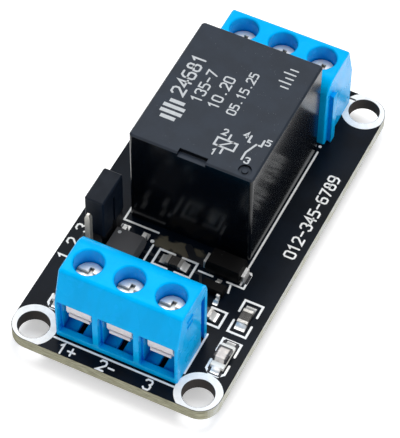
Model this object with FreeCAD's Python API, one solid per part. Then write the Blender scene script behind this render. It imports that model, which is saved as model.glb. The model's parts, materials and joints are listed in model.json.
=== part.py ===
import FreeCAD, Part

import math
import os

from FreeCAD import Placement, Rotation, Vector

# A one-channel relay module board: a drilled circuit board that carries a sealed
# relay, two three-pole screw terminals, a pin header with a jumper cap, and small
# surface-mount parts.
# Frame: +X across the board, +Y along it from the input terminal to the output
# terminal, +Z up. The origin is at the board's centre, at the tips of the solder
# tails, which are what the module stands on. All sizes are in millimetres.

# Board
BOARD_SIDE_MARGIN = 5.38
BOARD_THICKNESS = 1.6
BOARD_CORNER_RADIUS = 2.5
TAIL_LENGTH = 1.8
MOUNT_HOLE_DIAMETER = 3.7
MOUNT_HOLE_FROM_SIDE = 2.65
MOUNT_HOLE_FROM_END = 2.3
PIN_HOLE_CLEARANCE = 0.12
BOARD_TOP = TAIL_LENGTH + BOARD_THICKNESS

# Solder, and the many-sided outline of small round features that repeat
SMALL_ROUND_SIDES = 12
JOINT_FOOT_RADIUS = 1.0
JOINT_LENGTH_SHARE = 0.8
JOINT_NECK = 0.25
PAD_THICKNESS = 0.06

# Screw terminals, in their own frame: y = 0 at the wire face, z = 0 on the board
POLE_COUNT = 3
POLE_PITCH = 5.08
TERMINAL_DEPTH = 7.6
TERMINAL_HEIGHT = 10.6
TERMINAL_LEAN = 1.4
TERMINAL_UPRIGHT = 6.0
TERMINAL_FRONT_ROUND = 0.5
TERMINAL_REAR_ROUND = 2.0
TERMINAL_END_BEVEL = 0.15
WELL_RIM_BEVEL = 0.15
INPUT_EDGE_OFFSET = 2.3
INPUT_SHIFT = 0.1
OUTPUT_EDGE_OFFSET = 1.6
OUTPUT_SHIFT = 0.5
WIRE_MOUTH_WIDTH = 4.38
WIRE_MOUTH_DEPTH = 0.75
WIRE_SILL = 0.9
WIRE_LINTEL = 6.3
MOUTH_ROUND = 0.15
FLOOR_THICKNESS = 0.5
FLOOR_SLIT_WIDTH = 0.7
DOVETAIL_WIDTH = 1.1
DOVETAIL_NECK = 0.7
DOVETAIL_DEPTH = 0.55
DOVETAIL_CENTRE = 6.4
DOVETAIL_HEIGHT = 8.2
DOVETAIL_CLEARANCE = 0.08
GRIP_RIB_LENGTH = 1.3
GRIP_RIB_HEIGHT = 0.3
GRIP_RIB_PROUD = 0.15
GRIP_RIB_COUNT = 2
GRIP_RIB_PITCH = 1.0
GRIP_RIB_FROM_TOP = 1.8
SCREW_CENTRE = 3.75
SCREW_HEAD_DIAMETER = 3.3
SCREW_HEAD_HEIGHT = 1.0
SCREW_SHANK_DIAMETER = 2.4
SCREW_SLOT_WIDTH = 0.6
SCREW_SLOT_DEPTH = 0.5
HEAD_CLEARANCE = 0.1
SHANK_CLEARANCE = 0.05
LEDGE_CLEARANCE = 0.1
LEDGE_THICKNESS = 0.4
CAGE_TRAVEL = 1.25
CAGE_TOP_THICKNESS = 0.9
CAGE_BASE_THICKNESS = 0.5
CAGE_SIDE_THICKNESS = 0.45
CAGE_DEPTH = 4.0
CAGE_REAR_GAP = 0.2
CAGE_LIP = 0.4
CAGE_CLEARANCE = 0.2
BUS_LEVEL = 3.9
BUS_THICKNESS = 0.8
BUS_WIDTH = 2.4
BUS_FLANGE_HEIGHT = 1.5
BUS_FLANGE_WIDTH = 3.1
BUS_FLANGE_THICKNESS = 0.4
BUS_FRONT = 0.95
BUS_CAGE_GAP = 0.1
STRIP_WALL = 0.4
STRIP_THICKNESS = 0.6
STRIP_CLEARANCE = 0.05
TIP_CLEARANCE = 0.02
TERMINAL_TAIL_WIDTH = 1.0

# Relay, in its own frame: y = 0 at the face towards the input terminal
RELAY_WIDTH = 15.4
RELAY_LENGTH = 19.0
RELAY_HEIGHT = 15.1
RELAY_TERMINAL_GAP = 0.9
RELAY_STANDOFF = 0.3
RELAY_FOOT_SIZE = 1.6
COVER_WALL = 0.7
COVER_TOP = 0.9
COVER_EDGE_ROUND = 0.45
COVER_TOP_BEVEL = 0.2
COVER_NOTCH_WIDTH = 3.5
COVER_NOTCH_SHIFT = 0.15
COVER_NOTCH_RUN = 0.8
COVER_NOTCH_DROP = 0.6
VENT_DIAMETER = 1.5
VENT_DEPTH = 0.3
VENT_STUB_DIAMETER = 0.75
VENT_FROM_FRONT = 1.2
VENT_FROM_SIDE = 1.5
BASE_THICKNESS = 1.5
BASE_CLEARANCE = 0.05
YOKE_THICKNESS = 1.0
YOKE_WIDTH = 8.0
ARMATURE_GAP = 0.5
YOKE_FROM_FRONT = 1.1
COIL_REAR_GAP = 1.0
BOBBIN_FLANGE = 9.6
BOBBIN_FLANGE_THICKNESS = 0.7
BOBBIN_TUBE_WALL = 0.6
CORE_DIAMETER = 4.0
POLE_FACE_DIAMETER = 6.4
POLE_FACE_THICKNESS = 0.8
WINDING_INSET = 0.9
COIL_CLEARANCE = 0.02
ARMATURE_THICKNESS = 1.0
ARMATURE_OVERHANG = 1.1
CONTACT_REACH_FROM_REAR = 3.1
BLADE_THICKNESS = 0.25
BLADE_WIDTH = 3.6
BUTTON_DIAMETER = 2.2
BUTTON_THICKNESS = 0.6
CONTACT_CLEARANCE = 0.1
CEILING_GAP = 0.55
SPRING_LEG_LENGTH = 6.0
STRAP_THICKNESS = 0.4
STRAP_WIDTH = 1.4
RELAY_PIN_WIDTH = 1.0
RELAY_PIN_THICKNESS = 0.6
COIL_PIN_FROM_SIDE = 1.6
COIL_PIN_FROM_FRONT = 3.4
COMMON_PIN_FROM_FRONT = 1.6
CONTACT_PIN_FROM_REAR = 3.2
CONTACT_PIN_FROM_SIDE = 1.7

# Header and jumper
HEADER_PITCH = 2.54
HEADER_PINS = 3
HEADER_WIDTH = 2.5
HEADER_HEIGHT = 2.54
HEADER_CHAMFER = 0.5
HEADER_FROM_SIDE = 3.75
HEADER_FROM_RELAY = 2.0
HEADER_PIN_SIZE = 0.64
HEADER_PIN_REACH = 7.7
HEADER_PIN_TAPER = 0.5
CAP_HEIGHT = 6.0
CAP_WIDTH = 2.4
CAP_LENGTH = 4.9
CAP_ROOF = 0.8
CAP_EDGE_BEVEL = 0.15
CAP_GROOVE_WIDTH = 0.6
CAP_GROOVE_DEPTH = 0.2
CLIP_WALL = 0.35
CLIP_HEIGHT = 4.4
CLIP_LIFT = 0.5
CLIP_CLEARANCE = 0.05

# Surface-mount parts
CHIP_LENGTH = 2.0
CHIP_WIDTH = 1.25
CHIP_HEIGHT = 0.5
CHIP_CAP_LENGTH = 0.4
CHIP_CAP_WRAP = 0.04
CHIP_PAD_LENGTH = 1.35
CHIP_PAD_OVERLAP = 0.45
CHIP_PAD_MARGIN = 0.05
LAMP_LENGTH = 3.2
LAMP_WIDTH = 1.6
LAMP_BASE_HEIGHT = 0.5
LAMP_DOME_LENGTH = 2.0
LAMP_DOME_HEIGHT = 0.7
DIODE_LENGTH = 4.4
DIODE_WIDTH = 2.5
DIODE_HEIGHT = 2.0
DIODE_DRAFT = 0.18
DIODE_LEAD_WIDTH = 1.4
DIODE_LEAD_SPAN = 5.2
OPTO_WIDTH = 3.9
OPTO_LENGTH = 4.4
OPTO_HEIGHT = 2.1
OPTO_DRAFT = 0.22
OPTO_LEAD_PITCH = 2.54
OPTO_LEAD_WIDTH = 0.5
OPTO_LEAD_SPAN = 8.0
TRANSISTOR_WIDTH = 2.9
TRANSISTOR_LENGTH = 1.3
TRANSISTOR_HEIGHT = 1.0
TRANSISTOR_DRAFT = 0.1
TRANSISTOR_LEAD_PITCH = 1.9
TRANSISTOR_LEAD_WIDTH = 0.42
TRANSISTOR_LEAD_SPAN = 2.5
LEAD_THICKNESS = 0.2
LEAD_FOOT = 0.7
BODY_STANDOFF = 0.1

# Where the small parts sit: across from the board's centre or its side, and along
# from the relay's face or the input terminal's back
CHIP_A_SHIFT = 0.05
CHIP_A_FROM_RELAY = 3.85
CHIP_B_FROM_SIDE = 2.3
CHIP_B_FROM_RELAY = 7.25
CHIP_C_SHIFT = 6.1
CHIP_C_FROM_TERMINAL = 2.4
STATUS_LAMP_FROM_SIDE = 2.25
POWER_LAMP_FROM_SIDE = 3.75
LAMPS_FROM_HOLE = 5.4
DIODE_SHIFT = 5.85
DIODE_FROM_RELAY = 2.2
OPTO_FROM_HEADER = 0.3
OPTO_FROM_RELAY = 1.5
OPTO_FROM_TERMINAL = 1.5
TRANSISTOR_SHIFT = 5.75
TRANSISTOR_FROM_RELAY = 5.35

# Places that follow from the sizes above
TERMINAL_LENGTH = POLE_COUNT * POLE_PITCH
BOARD_WIDTH = TERMINAL_LENGTH + 2 * BOARD_SIDE_MARGIN
SMALL_PARTS_RUN = OPTO_FROM_RELAY + OPTO_LEAD_SPAN + OPTO_FROM_TERMINAL
BOARD_LENGTH = (INPUT_EDGE_OFFSET + TERMINAL_DEPTH + SMALL_PARTS_RUN + RELAY_LENGTH
                + RELAY_TERMINAL_GAP + TERMINAL_DEPTH + OUTPUT_EDGE_OFFSET)
MOUNT_SPACING_X = BOARD_WIDTH - 2 * MOUNT_HOLE_FROM_SIDE
MOUNT_SPACING_Y = BOARD_LENGTH - 2 * MOUNT_HOLE_FROM_END
INPUT_FRONT = -BOARD_LENGTH / 2 + INPUT_EDGE_OFFSET
INPUT_BACK = INPUT_FRONT + TERMINAL_DEPTH
OUTPUT_FRONT = BOARD_LENGTH / 2 - OUTPUT_EDGE_OFFSET
RELAY_FRONT = OUTPUT_FRONT - TERMINAL_DEPTH - RELAY_TERMINAL_GAP - RELAY_LENGTH
HEADER_X = -BOARD_WIDTH / 2 + HEADER_FROM_SIDE
HEADER_Y = RELAY_FRONT - HEADER_FROM_RELAY
OPTO_X = HEADER_X + HEADER_WIDTH / 2 + OPTO_FROM_HEADER + OPTO_WIDTH / 2
OPTO_Y = RELAY_FRONT - OPTO_FROM_RELAY - OPTO_LEAD_SPAN / 2
LAMP_Y = -MOUNT_SPACING_Y / 2 + LAMPS_FROM_HOLE
TAIL_TIP = -BOARD_TOP

# Levels inside a terminal pole
BUS_TOP = BUS_LEVEL + BUS_THICKNESS
CAGE_TOP_UNDERSIDE = BUS_TOP + BUS_CAGE_GAP + CAGE_TRAVEL
CAGE_TOP = CAGE_TOP_UNDERSIDE + CAGE_TOP_THICKNESS
CHAMBER_ROOF = CAGE_TOP + BUS_CAGE_GAP
HEAD_SEAT = CHAMBER_ROOF + LEDGE_THICKNESS
CAGE_BASE_TOP = BUS_LEVEL - CAGE_BASE_THICKNESS
CAGE_BASE = CAGE_BASE_TOP - CAGE_BASE_THICKNESS
CAGE_FRONT = BUS_FRONT + BUS_FLANGE_THICKNESS + BUS_CAGE_GAP
CAGE_REAR = CAGE_FRONT + CAGE_DEPTH
CAGE_HALF = BUS_WIDTH / 2 + BUS_CAGE_GAP + CAGE_SIDE_THICKNESS
CHAMBER_HALF = CAGE_HALF + CAGE_CLEARANCE
CHAMBER_REAR = CAGE_REAR + CAGE_REAR_GAP
STRIP_FRONT = CHAMBER_REAR + STRIP_WALL
STRIP_REAR = STRIP_FRONT + STRIP_THICKNESS

# Levels inside the relay, from the ceiling down and from the board up
STRAP_CEILING = RELAY_HEIGHT - COVER_TOP - CEILING_GAP
CLOSED_TOP = STRAP_CEILING - STRAP_THICKNESS - BUTTON_THICKNESS / 2
BLADE_TOP = CLOSED_TOP - BUTTON_THICKNESS
ARMATURE_TOP = BLADE_TOP - BLADE_THICKNESS
YOKE_TOP = ARMATURE_TOP - ARMATURE_THICKNESS
POLE_FACE_TOP = YOKE_TOP - ARMATURE_GAP
BOBBIN_TOP = POLE_FACE_TOP - POLE_FACE_THICKNESS
BASE_TOP = RELAY_STANDOFF + BASE_THICKNESS
YOKE_FLOOR = BASE_TOP + YOKE_THICKNESS

# Places along the relay
YOKE_INNER = YOKE_FROM_FRONT + YOKE_THICKNESS
CONTACT_REACH = RELAY_LENGTH - CONTACT_REACH_FROM_REAR
CONTACT_Y = CONTACT_REACH - BUTTON_DIAMETER / 2
COIL_CENTRE = (YOKE_INNER + CONTACT_REACH - BUTTON_DIAMETER - COIL_REAR_GAP) / 2
WINDING_DIAMETER = 2 * (COIL_CENTRE - YOKE_INNER - WINDING_INSET)
ARMATURE_END = COIL_CENTRE + POLE_FACE_DIAMETER / 2 + ARMATURE_OVERHANG
CLOSING_SLOPE = ARMATURE_GAP / (COIL_CENTRE + POLE_FACE_DIAMETER / 2 - YOKE_INNER)
CONTACT_DROP = (CONTACT_REACH - YOKE_INNER) * CLOSING_SLOPE
OPEN_TOP = ARMATURE_TOP - BUTTON_THICKNESS - CONTACT_DROP - CONTACT_CLEARANCE
CONTACT_PIN_Y = RELAY_LENGTH - CONTACT_PIN_FROM_REAR
CONTACT_PIN_SPACING = RELAY_WIDTH - 2 * CONTACT_PIN_FROM_SIDE
COIL_PIN_SPACING = RELAY_WIDTH - 2 * COIL_PIN_FROM_SIDE

# Lengths that count as none when shapes are compared
TINY = 1e-6


# Shapes

def box(x0, x1, y0, y1, z0, z1):
    return Part.makeBox(x1 - x0, y1 - y0, z1 - z0, Vector(x0, y0, z0))


def cylinder(radius, x, y, z0, z1):
    return Part.makeCylinder(radius, z1 - z0, Vector(x, y, z0))


def ring(outer, inner, x, y, z0, z1):
    return cylinder(outer, x, y, z0, z1).cut(cylinder(inner, x, y, z0, z1))


def small_round(radius0, radius1, x, y, z0, z1):
    """A cylinder or cone with few sides, for what repeats many times. The radius is to its flats."""
    wires = []
    for radius, level in ((radius0, z0), (radius1, z1)):
        reach = radius / math.cos(math.pi / SMALL_ROUND_SIDES)
        points = []
        for step in range(SMALL_ROUND_SIDES):
            angle = 2 * math.pi * (step + 0.5) / SMALL_ROUND_SIDES
            points.append(Vector(x + reach * math.cos(angle), y + reach * math.sin(angle), level))
        wires.append(Part.makePolygon(points + points[:1]))
    return Part.makeLoft(wires, True, True)


def moved(shape, x=0.0, y=0.0, z=0.0, turn=0.0):
    """A copy turned about +Z by so many degrees and then moved."""
    copy = shape.copy()
    copy.Placement = Placement(Vector(x, y, z), Rotation(Vector(0, 0, 1), turn)).multiply(copy.Placement)
    return copy


def group(shapes):
    return Part.makeCompound(shapes)


def fused(shapes):
    body = shapes[0]
    for shape in shapes[1:]:
        body = body.fuse(shape)
    return body.removeSplitter()


def profile(corners, place):
    """A face from corners (u, v, radius), where a radius above zero rounds the corner."""
    edges = []
    starts = []
    ends = []
    arcs = []
    count = len(corners)
    for index in range(count):
        u, v, radius = corners[index]
        here = Vector(u, v, 0)
        before = Vector(corners[index - 1][0], corners[index - 1][1], 0)
        after = Vector(corners[(index + 1) % count][0], corners[(index + 1) % count][1], 0)
        if radius <= 0:
            starts.append(here)
            ends.append(here)
            arcs.append(None)
            continue
        back = (before - here).normalize()
        ahead = (after - here).normalize()
        half_angle = back.getAngle(ahead) / 2
        run = radius / math.tan(half_angle)
        centre = here + (back + ahead).normalize() * (radius / math.sin(half_angle))
        middle = centre + (here - centre).normalize() * radius
        starts.append(here + back * run)
        ends.append(here + ahead * run)
        arcs.append(middle)
    for index in range(count):
        if arcs[index] is not None:
            points = [place(p.x, p.y) for p in (starts[index], arcs[index], ends[index])]
            edges.append(Part.Arc(*points).toShape())
        first = place(ends[index].x, ends[index].y)
        last = place(starts[(index + 1) % count].x, starts[(index + 1) % count].y)
        if first.distanceToPoint(last) > TINY:
            edges.append(Part.makeLine(first, last))
    return Part.Face(Part.Wire(edges))


def side_prism(corners, x0, x1):
    """A profile in the YZ plane, carried along X."""
    face = profile(corners, lambda u, v: Vector(x0, u, v))
    return face.extrude(Vector(x1 - x0, 0, 0))


def front_prism(corners, y0, y1):
    """A profile in the XZ plane, carried along Y."""
    face = profile(corners, lambda u, v: Vector(u, y0, v))
    return face.extrude(Vector(0, y1 - y0, 0))


def plan_prism(corners, z0, z1):
    """A profile in the XY plane, carried along Z."""
    face = profile(corners, lambda u, v: Vector(u, v, z0))
    return face.extrude(Vector(0, 0, z1 - z0))


def rounded_plate(width, length, radius, z0, z1, x=0.0, y=0.0):
    half_x = width / 2
    half_y = length / 2
    corners = [(x - half_x, y - half_y, radius), (x + half_x, y - half_y, radius),
               (x + half_x, y + half_y, radius), (x - half_x, y + half_y, radius)]
    return plan_prism(corners, z0, z1)


def tapered_body(width, length, height, draft, z0):
    """A moulded package: widest at mid height, drawn in by the draft above and below."""
    middle = z0 + height / 2
    levels = ((z0, draft), (middle, 0.0), (z0 + height, draft))
    wires = []
    for level, inset in levels:
        half_x = width / 2 - inset
        half_y = length / 2 - inset
        points = [Vector(-half_x, -half_y, level), Vector(half_x, -half_y, level),
                  Vector(half_x, half_y, level), Vector(-half_x, half_y, level)]
        wires.append(Part.makePolygon(points + points[:1]))
    lower = Part.makeLoft(wires[:2], True, True)
    upper = Part.makeLoft(wires[1:], True, True)
    return lower.fuse(upper).removeSplitter()


# Board and solder

def pole_centres():
    return [(index - (POLE_COUNT - 1) / 2) * POLE_PITCH for index in range(POLE_COUNT)]


def header_pin_places():
    return [(HEADER_X, HEADER_Y - index * HEADER_PITCH) for index in range(HEADER_PINS)]


def relay_pin_places():
    coil = [(side * COIL_PIN_SPACING / 2, RELAY_FRONT + COIL_PIN_FROM_FRONT) for side in (-1, 1)]
    contact = [(side * CONTACT_PIN_SPACING / 2, RELAY_FRONT + CONTACT_PIN_Y) for side in (-1, 1)]
    common = [(0.0, RELAY_FRONT + COMMON_PIN_FROM_FRONT)]
    return coil + contact + common


def terminal_tail_places():
    tail_y = (STRIP_FRONT + STRIP_REAR) / 2
    front = [(INPUT_SHIFT + x, INPUT_FRONT + tail_y) for x in pole_centres()]
    back = [(OUTPUT_SHIFT - x, OUTPUT_FRONT - tail_y) for x in pole_centres()]
    return front + back


def pin_holes():
    """Each drilled place with the half diagonal of the pin that passes through it."""
    tail = math.hypot(TERMINAL_TAIL_WIDTH, STRIP_THICKNESS) / 2
    relay_pin = math.hypot(RELAY_PIN_WIDTH, RELAY_PIN_THICKNESS) / 2
    header_pin = math.hypot(HEADER_PIN_SIZE, HEADER_PIN_SIZE) / 2
    holes = [(x, y, tail) for x, y in terminal_tail_places()]
    holes += [(x, y, relay_pin) for x, y in relay_pin_places()]
    holes += [(x, y, header_pin) for x, y in header_pin_places()]
    return holes


def board():
    plate = rounded_plate(BOARD_WIDTH, BOARD_LENGTH, BOARD_CORNER_RADIUS, TAIL_LENGTH, BOARD_TOP)
    for side_x in (-1, 1):
        for side_y in (-1, 1):
            x = side_x * MOUNT_SPACING_X / 2
            y = side_y * MOUNT_SPACING_Y / 2
            plate = plate.cut(cylinder(MOUNT_HOLE_DIAMETER / 2, x, y, TAIL_LENGTH, BOARD_TOP))
    for x, y, half_diagonal in pin_holes():
        radius = half_diagonal + PIN_HOLE_CLEARANCE
        plate = plate.cut(small_round(radius, radius, x, y, TAIL_LENGTH, BOARD_TOP))
    return plate


def pin_block(x, y, half_x, half_y):
    return box(x - half_x, x + half_x, y - half_y, y + half_y, 0.0, BOARD_TOP)


def solder_joints():
    """A cone of solder on each tail, with the pin's own section left out of it."""
    joints = []
    tail_half = TERMINAL_TAIL_WIDTH / 2
    sections = [(x, y, tail_half, STRIP_THICKNESS / 2) for x, y in terminal_tail_places()]
    sections += [(x, y, RELAY_PIN_WIDTH / 2, RELAY_PIN_THICKNESS / 2) for x, y in relay_pin_places()]
    sections += [(x, y, HEADER_PIN_SIZE / 2, HEADER_PIN_SIZE / 2) for x, y in header_pin_places()]
    for x, y, half_x, half_y in sections:
        neck = math.hypot(half_x, half_y) + JOINT_NECK / 2
        foot = max(JOINT_FOOT_RADIUS, neck + JOINT_NECK)
        joint = small_round(neck, foot, x, y, TAIL_LENGTH * (1 - JOINT_LENGTH_SHARE), TAIL_LENGTH)
        joints.append(joint.cut(pin_block(x, y, half_x, half_y)))
    return group(joints)


# Screw terminal

def terminal_housing():
    half = TERMINAL_LENGTH / 2
    corners = [(0.0, 0.0, 0.0), (TERMINAL_DEPTH, 0.0, 0.0),
               (TERMINAL_DEPTH, TERMINAL_HEIGHT, TERMINAL_REAR_ROUND),
               (TERMINAL_LEAN, TERMINAL_HEIGHT, TERMINAL_FRONT_ROUND),
               (0.0, TERMINAL_UPRIGHT, 0.0)]
    housing = side_prism(corners, -half, half)
    ends = [edge for edge in housing.Edges
            if edge.BoundBox.XLength < TINY and edge.BoundBox.ZMax > TINY]
    housing = housing.makeChamfer(TERMINAL_END_BEVEL, ends)
    for index in range(GRIP_RIB_COUNT):
        level = TERMINAL_HEIGHT - GRIP_RIB_FROM_TOP - index * GRIP_RIB_PITCH
        housing = housing.fuse(grip_rib(half, level))
    housing = housing.fuse(dovetail(-half, -1, 0.0))
    housing = housing.cut(dovetail(half, -1, DOVETAIL_CLEARANCE))
    for x in pole_centres():
        housing = housing.cut(pole_cavity(x))
    return housing.removeSplitter()


def grip_rib(face_x, level):
    y0 = TERMINAL_DEPTH / 2 - GRIP_RIB_LENGTH
    return box(face_x, face_x + GRIP_RIB_PROUD, y0, y0 + GRIP_RIB_LENGTH, level - GRIP_RIB_HEIGHT, level)


def dovetail(face_x, side, clearance):
    """The rail that locks one terminal to the next: narrow at the face, wide at its far edge."""
    neck = DOVETAIL_NECK / 2 + clearance
    width = DOVETAIL_WIDTH / 2 + clearance
    far = face_x + side * (DOVETAIL_DEPTH + clearance)
    corners = [(face_x, DOVETAIL_CENTRE - neck, 0.0), (far, DOVETAIL_CENTRE - width, 0.0),
               (far, DOVETAIL_CENTRE + width, 0.0), (face_x, DOVETAIL_CENTRE + neck, 0.0)]
    return plan_prism(corners, 0.0, DOVETAIL_HEIGHT + clearance)


def pole_cavity(x):
    """The wire mouth, cage chamber, screw well and contact slot of one pole, as one tool."""
    mouth_half = WIRE_MOUTH_WIDTH / 2
    mouth = front_prism([(x - mouth_half, WIRE_SILL, MOUTH_ROUND), (x + mouth_half, WIRE_SILL, MOUTH_ROUND),
                         (x + mouth_half, WIRE_LINTEL, MOUTH_ROUND),
                         (x - mouth_half, WIRE_LINTEL, MOUTH_ROUND)], 0.0, WIRE_MOUTH_DEPTH)
    chamber = box(x - CHAMBER_HALF, x + CHAMBER_HALF, WIRE_MOUTH_DEPTH, CHAMBER_REAR,
                  FLOOR_THICKNESS, CHAMBER_ROOF)
    slit_half = FLOOR_SLIT_WIDTH / 2
    slit = box(x - slit_half, x + slit_half, WIRE_MOUTH_DEPTH, STRIP_FRONT, 0.0, BUS_LEVEL)
    bus_half = BUS_WIDTH / 2 + STRIP_CLEARANCE
    window = box(x - bus_half, x + bus_half, CHAMBER_REAR, STRIP_REAR + STRIP_CLEARANCE,
                 BUS_LEVEL - STRIP_CLEARANCE, BUS_TOP + STRIP_CLEARANCE)
    strip_well = box(x - bus_half, x + bus_half, STRIP_FRONT - STRIP_CLEARANCE,
                     STRIP_REAR + STRIP_CLEARANCE, 0.0, BUS_TOP + STRIP_CLEARANCE)
    well = cylinder(SCREW_HEAD_DIAMETER / 2 + HEAD_CLEARANCE, x, SCREW_CENTRE, HEAD_SEAT, TERMINAL_HEIGHT)
    rim_radius = SCREW_HEAD_DIAMETER / 2 + HEAD_CLEARANCE
    rim = Part.makeCone(rim_radius, rim_radius + WELL_RIM_BEVEL, WELL_RIM_BEVEL,
                        Vector(x, SCREW_CENTRE, TERMINAL_HEIGHT - WELL_RIM_BEVEL))
    throat = cylinder(SCREW_SHANK_DIAMETER / 2 + LEDGE_CLEARANCE, x, SCREW_CENTRE,
                      CHAMBER_ROOF, HEAD_SEAT)
    return fused([mouth, chamber, slit, window, strip_well, well, rim, throat])


def terminal_screw():
    head_radius = SCREW_HEAD_DIAMETER / 2
    head_top = HEAD_SEAT + SCREW_HEAD_HEIGHT
    shank_radius = SCREW_SHANK_DIAMETER / 2
    tip = BUS_TOP + TIP_CLEARANCE
    outline = [(0.0, tip, 0.0), (shank_radius, tip, 0.0), (shank_radius, HEAD_SEAT, 0.0),
               (head_radius, HEAD_SEAT, 0.0), (head_radius, head_top, 0.0), (0.0, head_top, 0.0)]
    face = profile(outline, lambda u, v: Vector(u, 0, v))
    screw = face.revolve(Vector(0, 0, 0), Vector(0, 0, 1), 360)
    slot_half = SCREW_SLOT_WIDTH / 2
    slot = box(-head_radius, head_radius, -slot_half, slot_half, head_top - SCREW_SLOT_DEPTH, head_top)
    return moved(screw.cut(slot), y=SCREW_CENTRE)


def clamp_cage():
    """The strap that the screw lifts: a closed loop round the contact bar, with a front lip."""
    inner = CAGE_HALF - CAGE_SIDE_THICKNESS
    loop = front_prism([(-CAGE_HALF, CAGE_BASE, 0.0), (CAGE_HALF, CAGE_BASE, 0.0),
                        (CAGE_HALF, CAGE_TOP, 0.0), (-CAGE_HALF, CAGE_TOP, 0.0)], CAGE_FRONT, CAGE_REAR)
    opening = box(-inner, inner, CAGE_FRONT, CAGE_REAR, CAGE_BASE_TOP, CAGE_TOP_UNDERSIDE)
    lip = box(-inner, inner, CAGE_FRONT - CAGE_LIP, CAGE_FRONT, CAGE_BASE, CAGE_BASE_TOP)
    thread_hole = cylinder(SCREW_SHANK_DIAMETER / 2 + SHANK_CLEARANCE, 0.0, SCREW_CENTRE,
                           CAGE_TOP_UNDERSIDE, CAGE_TOP)
    return loop.cut(opening).fuse(lip).cut(thread_hole).removeSplitter()


def terminal_contact():
    """One bent strip: upturned front flange, bar under the screw, drop and solder tail."""
    bar_half = BUS_WIDTH / 2
    flange_half = BUS_FLANGE_WIDTH / 2
    tail_half = TERMINAL_TAIL_WIDTH / 2
    flange_rear = BUS_FRONT + BUS_FLANGE_THICKNESS
    flange = box(-flange_half, flange_half, BUS_FRONT, flange_rear, BUS_LEVEL, BUS_LEVEL + BUS_FLANGE_HEIGHT)
    bar = side_prism([(flange_rear, BUS_LEVEL, 0.0), (STRIP_FRONT, BUS_LEVEL, 0.0), (STRIP_FRONT, 0.0, 0.0),
                      (STRIP_REAR, 0.0, 0.0), (STRIP_REAR, BUS_TOP, STRIP_THICKNESS / 2),
                      (flange_rear, BUS_TOP, 0.0)], -bar_half, bar_half)
    tail = front_prism([(-tail_half, 0.0, 0.0), (tail_half, 0.0, 0.0),
                        (tail_half, TAIL_TIP + tail_half, 0.0), (tail_half / 2, TAIL_TIP, 0.0),
                        (-tail_half / 2, TAIL_TIP, 0.0), (-tail_half, TAIL_TIP + tail_half, 0.0)],
                       STRIP_FRONT, STRIP_REAR)
    return fused([flange, bar, tail])


def screw_terminal(name, x, y, turn):
    nodes = {name + "_housing": moved(terminal_housing(), x, y, BOARD_TOP, turn)}
    makers = {"screw": terminal_screw, "cage": clamp_cage, "contact": terminal_contact}
    for index, pole_x in enumerate(pole_centres()):
        for piece, maker in makers.items():
            placed = moved(maker(), x=pole_x)
            nodes["%s_%s_%d" % (name, piece, index + 1)] = moved(placed, x, y, BOARD_TOP, turn)
    return nodes


# Relay

def relay_cover():
    half_x = RELAY_WIDTH / 2
    outer = rounded_plate(RELAY_WIDTH, RELAY_LENGTH, COVER_EDGE_ROUND, RELAY_STANDOFF, RELAY_HEIGHT,
                          y=RELAY_LENGTH / 2)
    rim = [edge for edge in outer.Edges if edge.BoundBox.ZMin > RELAY_HEIGHT - TINY]
    outer = outer.makeChamfer(COVER_TOP_BEVEL, rim)
    inner = box(-half_x + COVER_WALL, half_x - COVER_WALL, COVER_WALL, RELAY_LENGTH - COVER_WALL,
                RELAY_STANDOFF, RELAY_HEIGHT - COVER_TOP)
    notch_half = COVER_NOTCH_WIDTH / 2
    notch = box(COVER_NOTCH_SHIFT - notch_half, COVER_NOTCH_SHIFT + notch_half, 0.0, COVER_NOTCH_RUN,
                RELAY_HEIGHT - COVER_NOTCH_DROP, RELAY_HEIGHT)
    vent_x = half_x - VENT_FROM_SIDE
    vent_z = RELAY_HEIGHT - VENT_DEPTH
    dimple = cylinder(VENT_DIAMETER / 2, vent_x, VENT_FROM_FRONT, vent_z, RELAY_HEIGHT)
    stub = cylinder(VENT_STUB_DIAMETER / 2, vent_x, VENT_FROM_FRONT, vent_z, vent_z + VENT_DEPTH / 2)
    return outer.cut(inner).cut(notch).cut(dimple).fuse(stub).removeSplitter()


def relay_base():
    inset = COVER_WALL + BASE_CLEARANCE
    half_x = RELAY_WIDTH / 2 - inset
    plate = box(-half_x, half_x, inset, RELAY_LENGTH - inset, RELAY_STANDOFF, BASE_TOP)
    feet = []
    for x0 in (-half_x, half_x - RELAY_FOOT_SIZE):
        for y0 in (inset, RELAY_LENGTH - inset - RELAY_FOOT_SIZE):
            feet.append(box(x0, x0 + RELAY_FOOT_SIZE, y0, y0 + RELAY_FOOT_SIZE, 0.0, RELAY_STANDOFF))
    base = fused([plate] + feet)
    for x, y in relay_pin_places():
        y_local = y - RELAY_FRONT
        base = base.cut(box(x - RELAY_PIN_WIDTH / 2, x + RELAY_PIN_WIDTH / 2,
                            y_local - RELAY_PIN_THICKNESS / 2, y_local + RELAY_PIN_THICKNESS / 2,
                            0.0, BASE_TOP))
    return base


def relay_yoke():
    half = YOKE_WIDTH / 2
    leg_end = COIL_CENTRE + POLE_FACE_DIAMETER / 2
    yoke = side_prism([(YOKE_FROM_FRONT, BASE_TOP, 0.0), (leg_end, BASE_TOP, 0.0),
                       (leg_end, YOKE_FLOOR, 0.0), (YOKE_INNER, YOKE_FLOOR, 0.0),
                       (YOKE_INNER, YOKE_TOP, 0.0), (YOKE_FROM_FRONT, YOKE_TOP, 0.0)], -half, half)
    hole = cylinder(CORE_DIAMETER / 2 + COIL_CLEARANCE, 0.0, COIL_CENTRE, BASE_TOP, YOKE_FLOOR)
    return yoke.cut(hole)


def relay_core():
    shaft = cylinder(CORE_DIAMETER / 2, 0.0, COIL_CENTRE, BASE_TOP, BOBBIN_TOP)
    face = cylinder(POLE_FACE_DIAMETER / 2, 0.0, COIL_CENTRE, BOBBIN_TOP, POLE_FACE_TOP)
    return shaft.fuse(face).removeSplitter()


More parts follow.
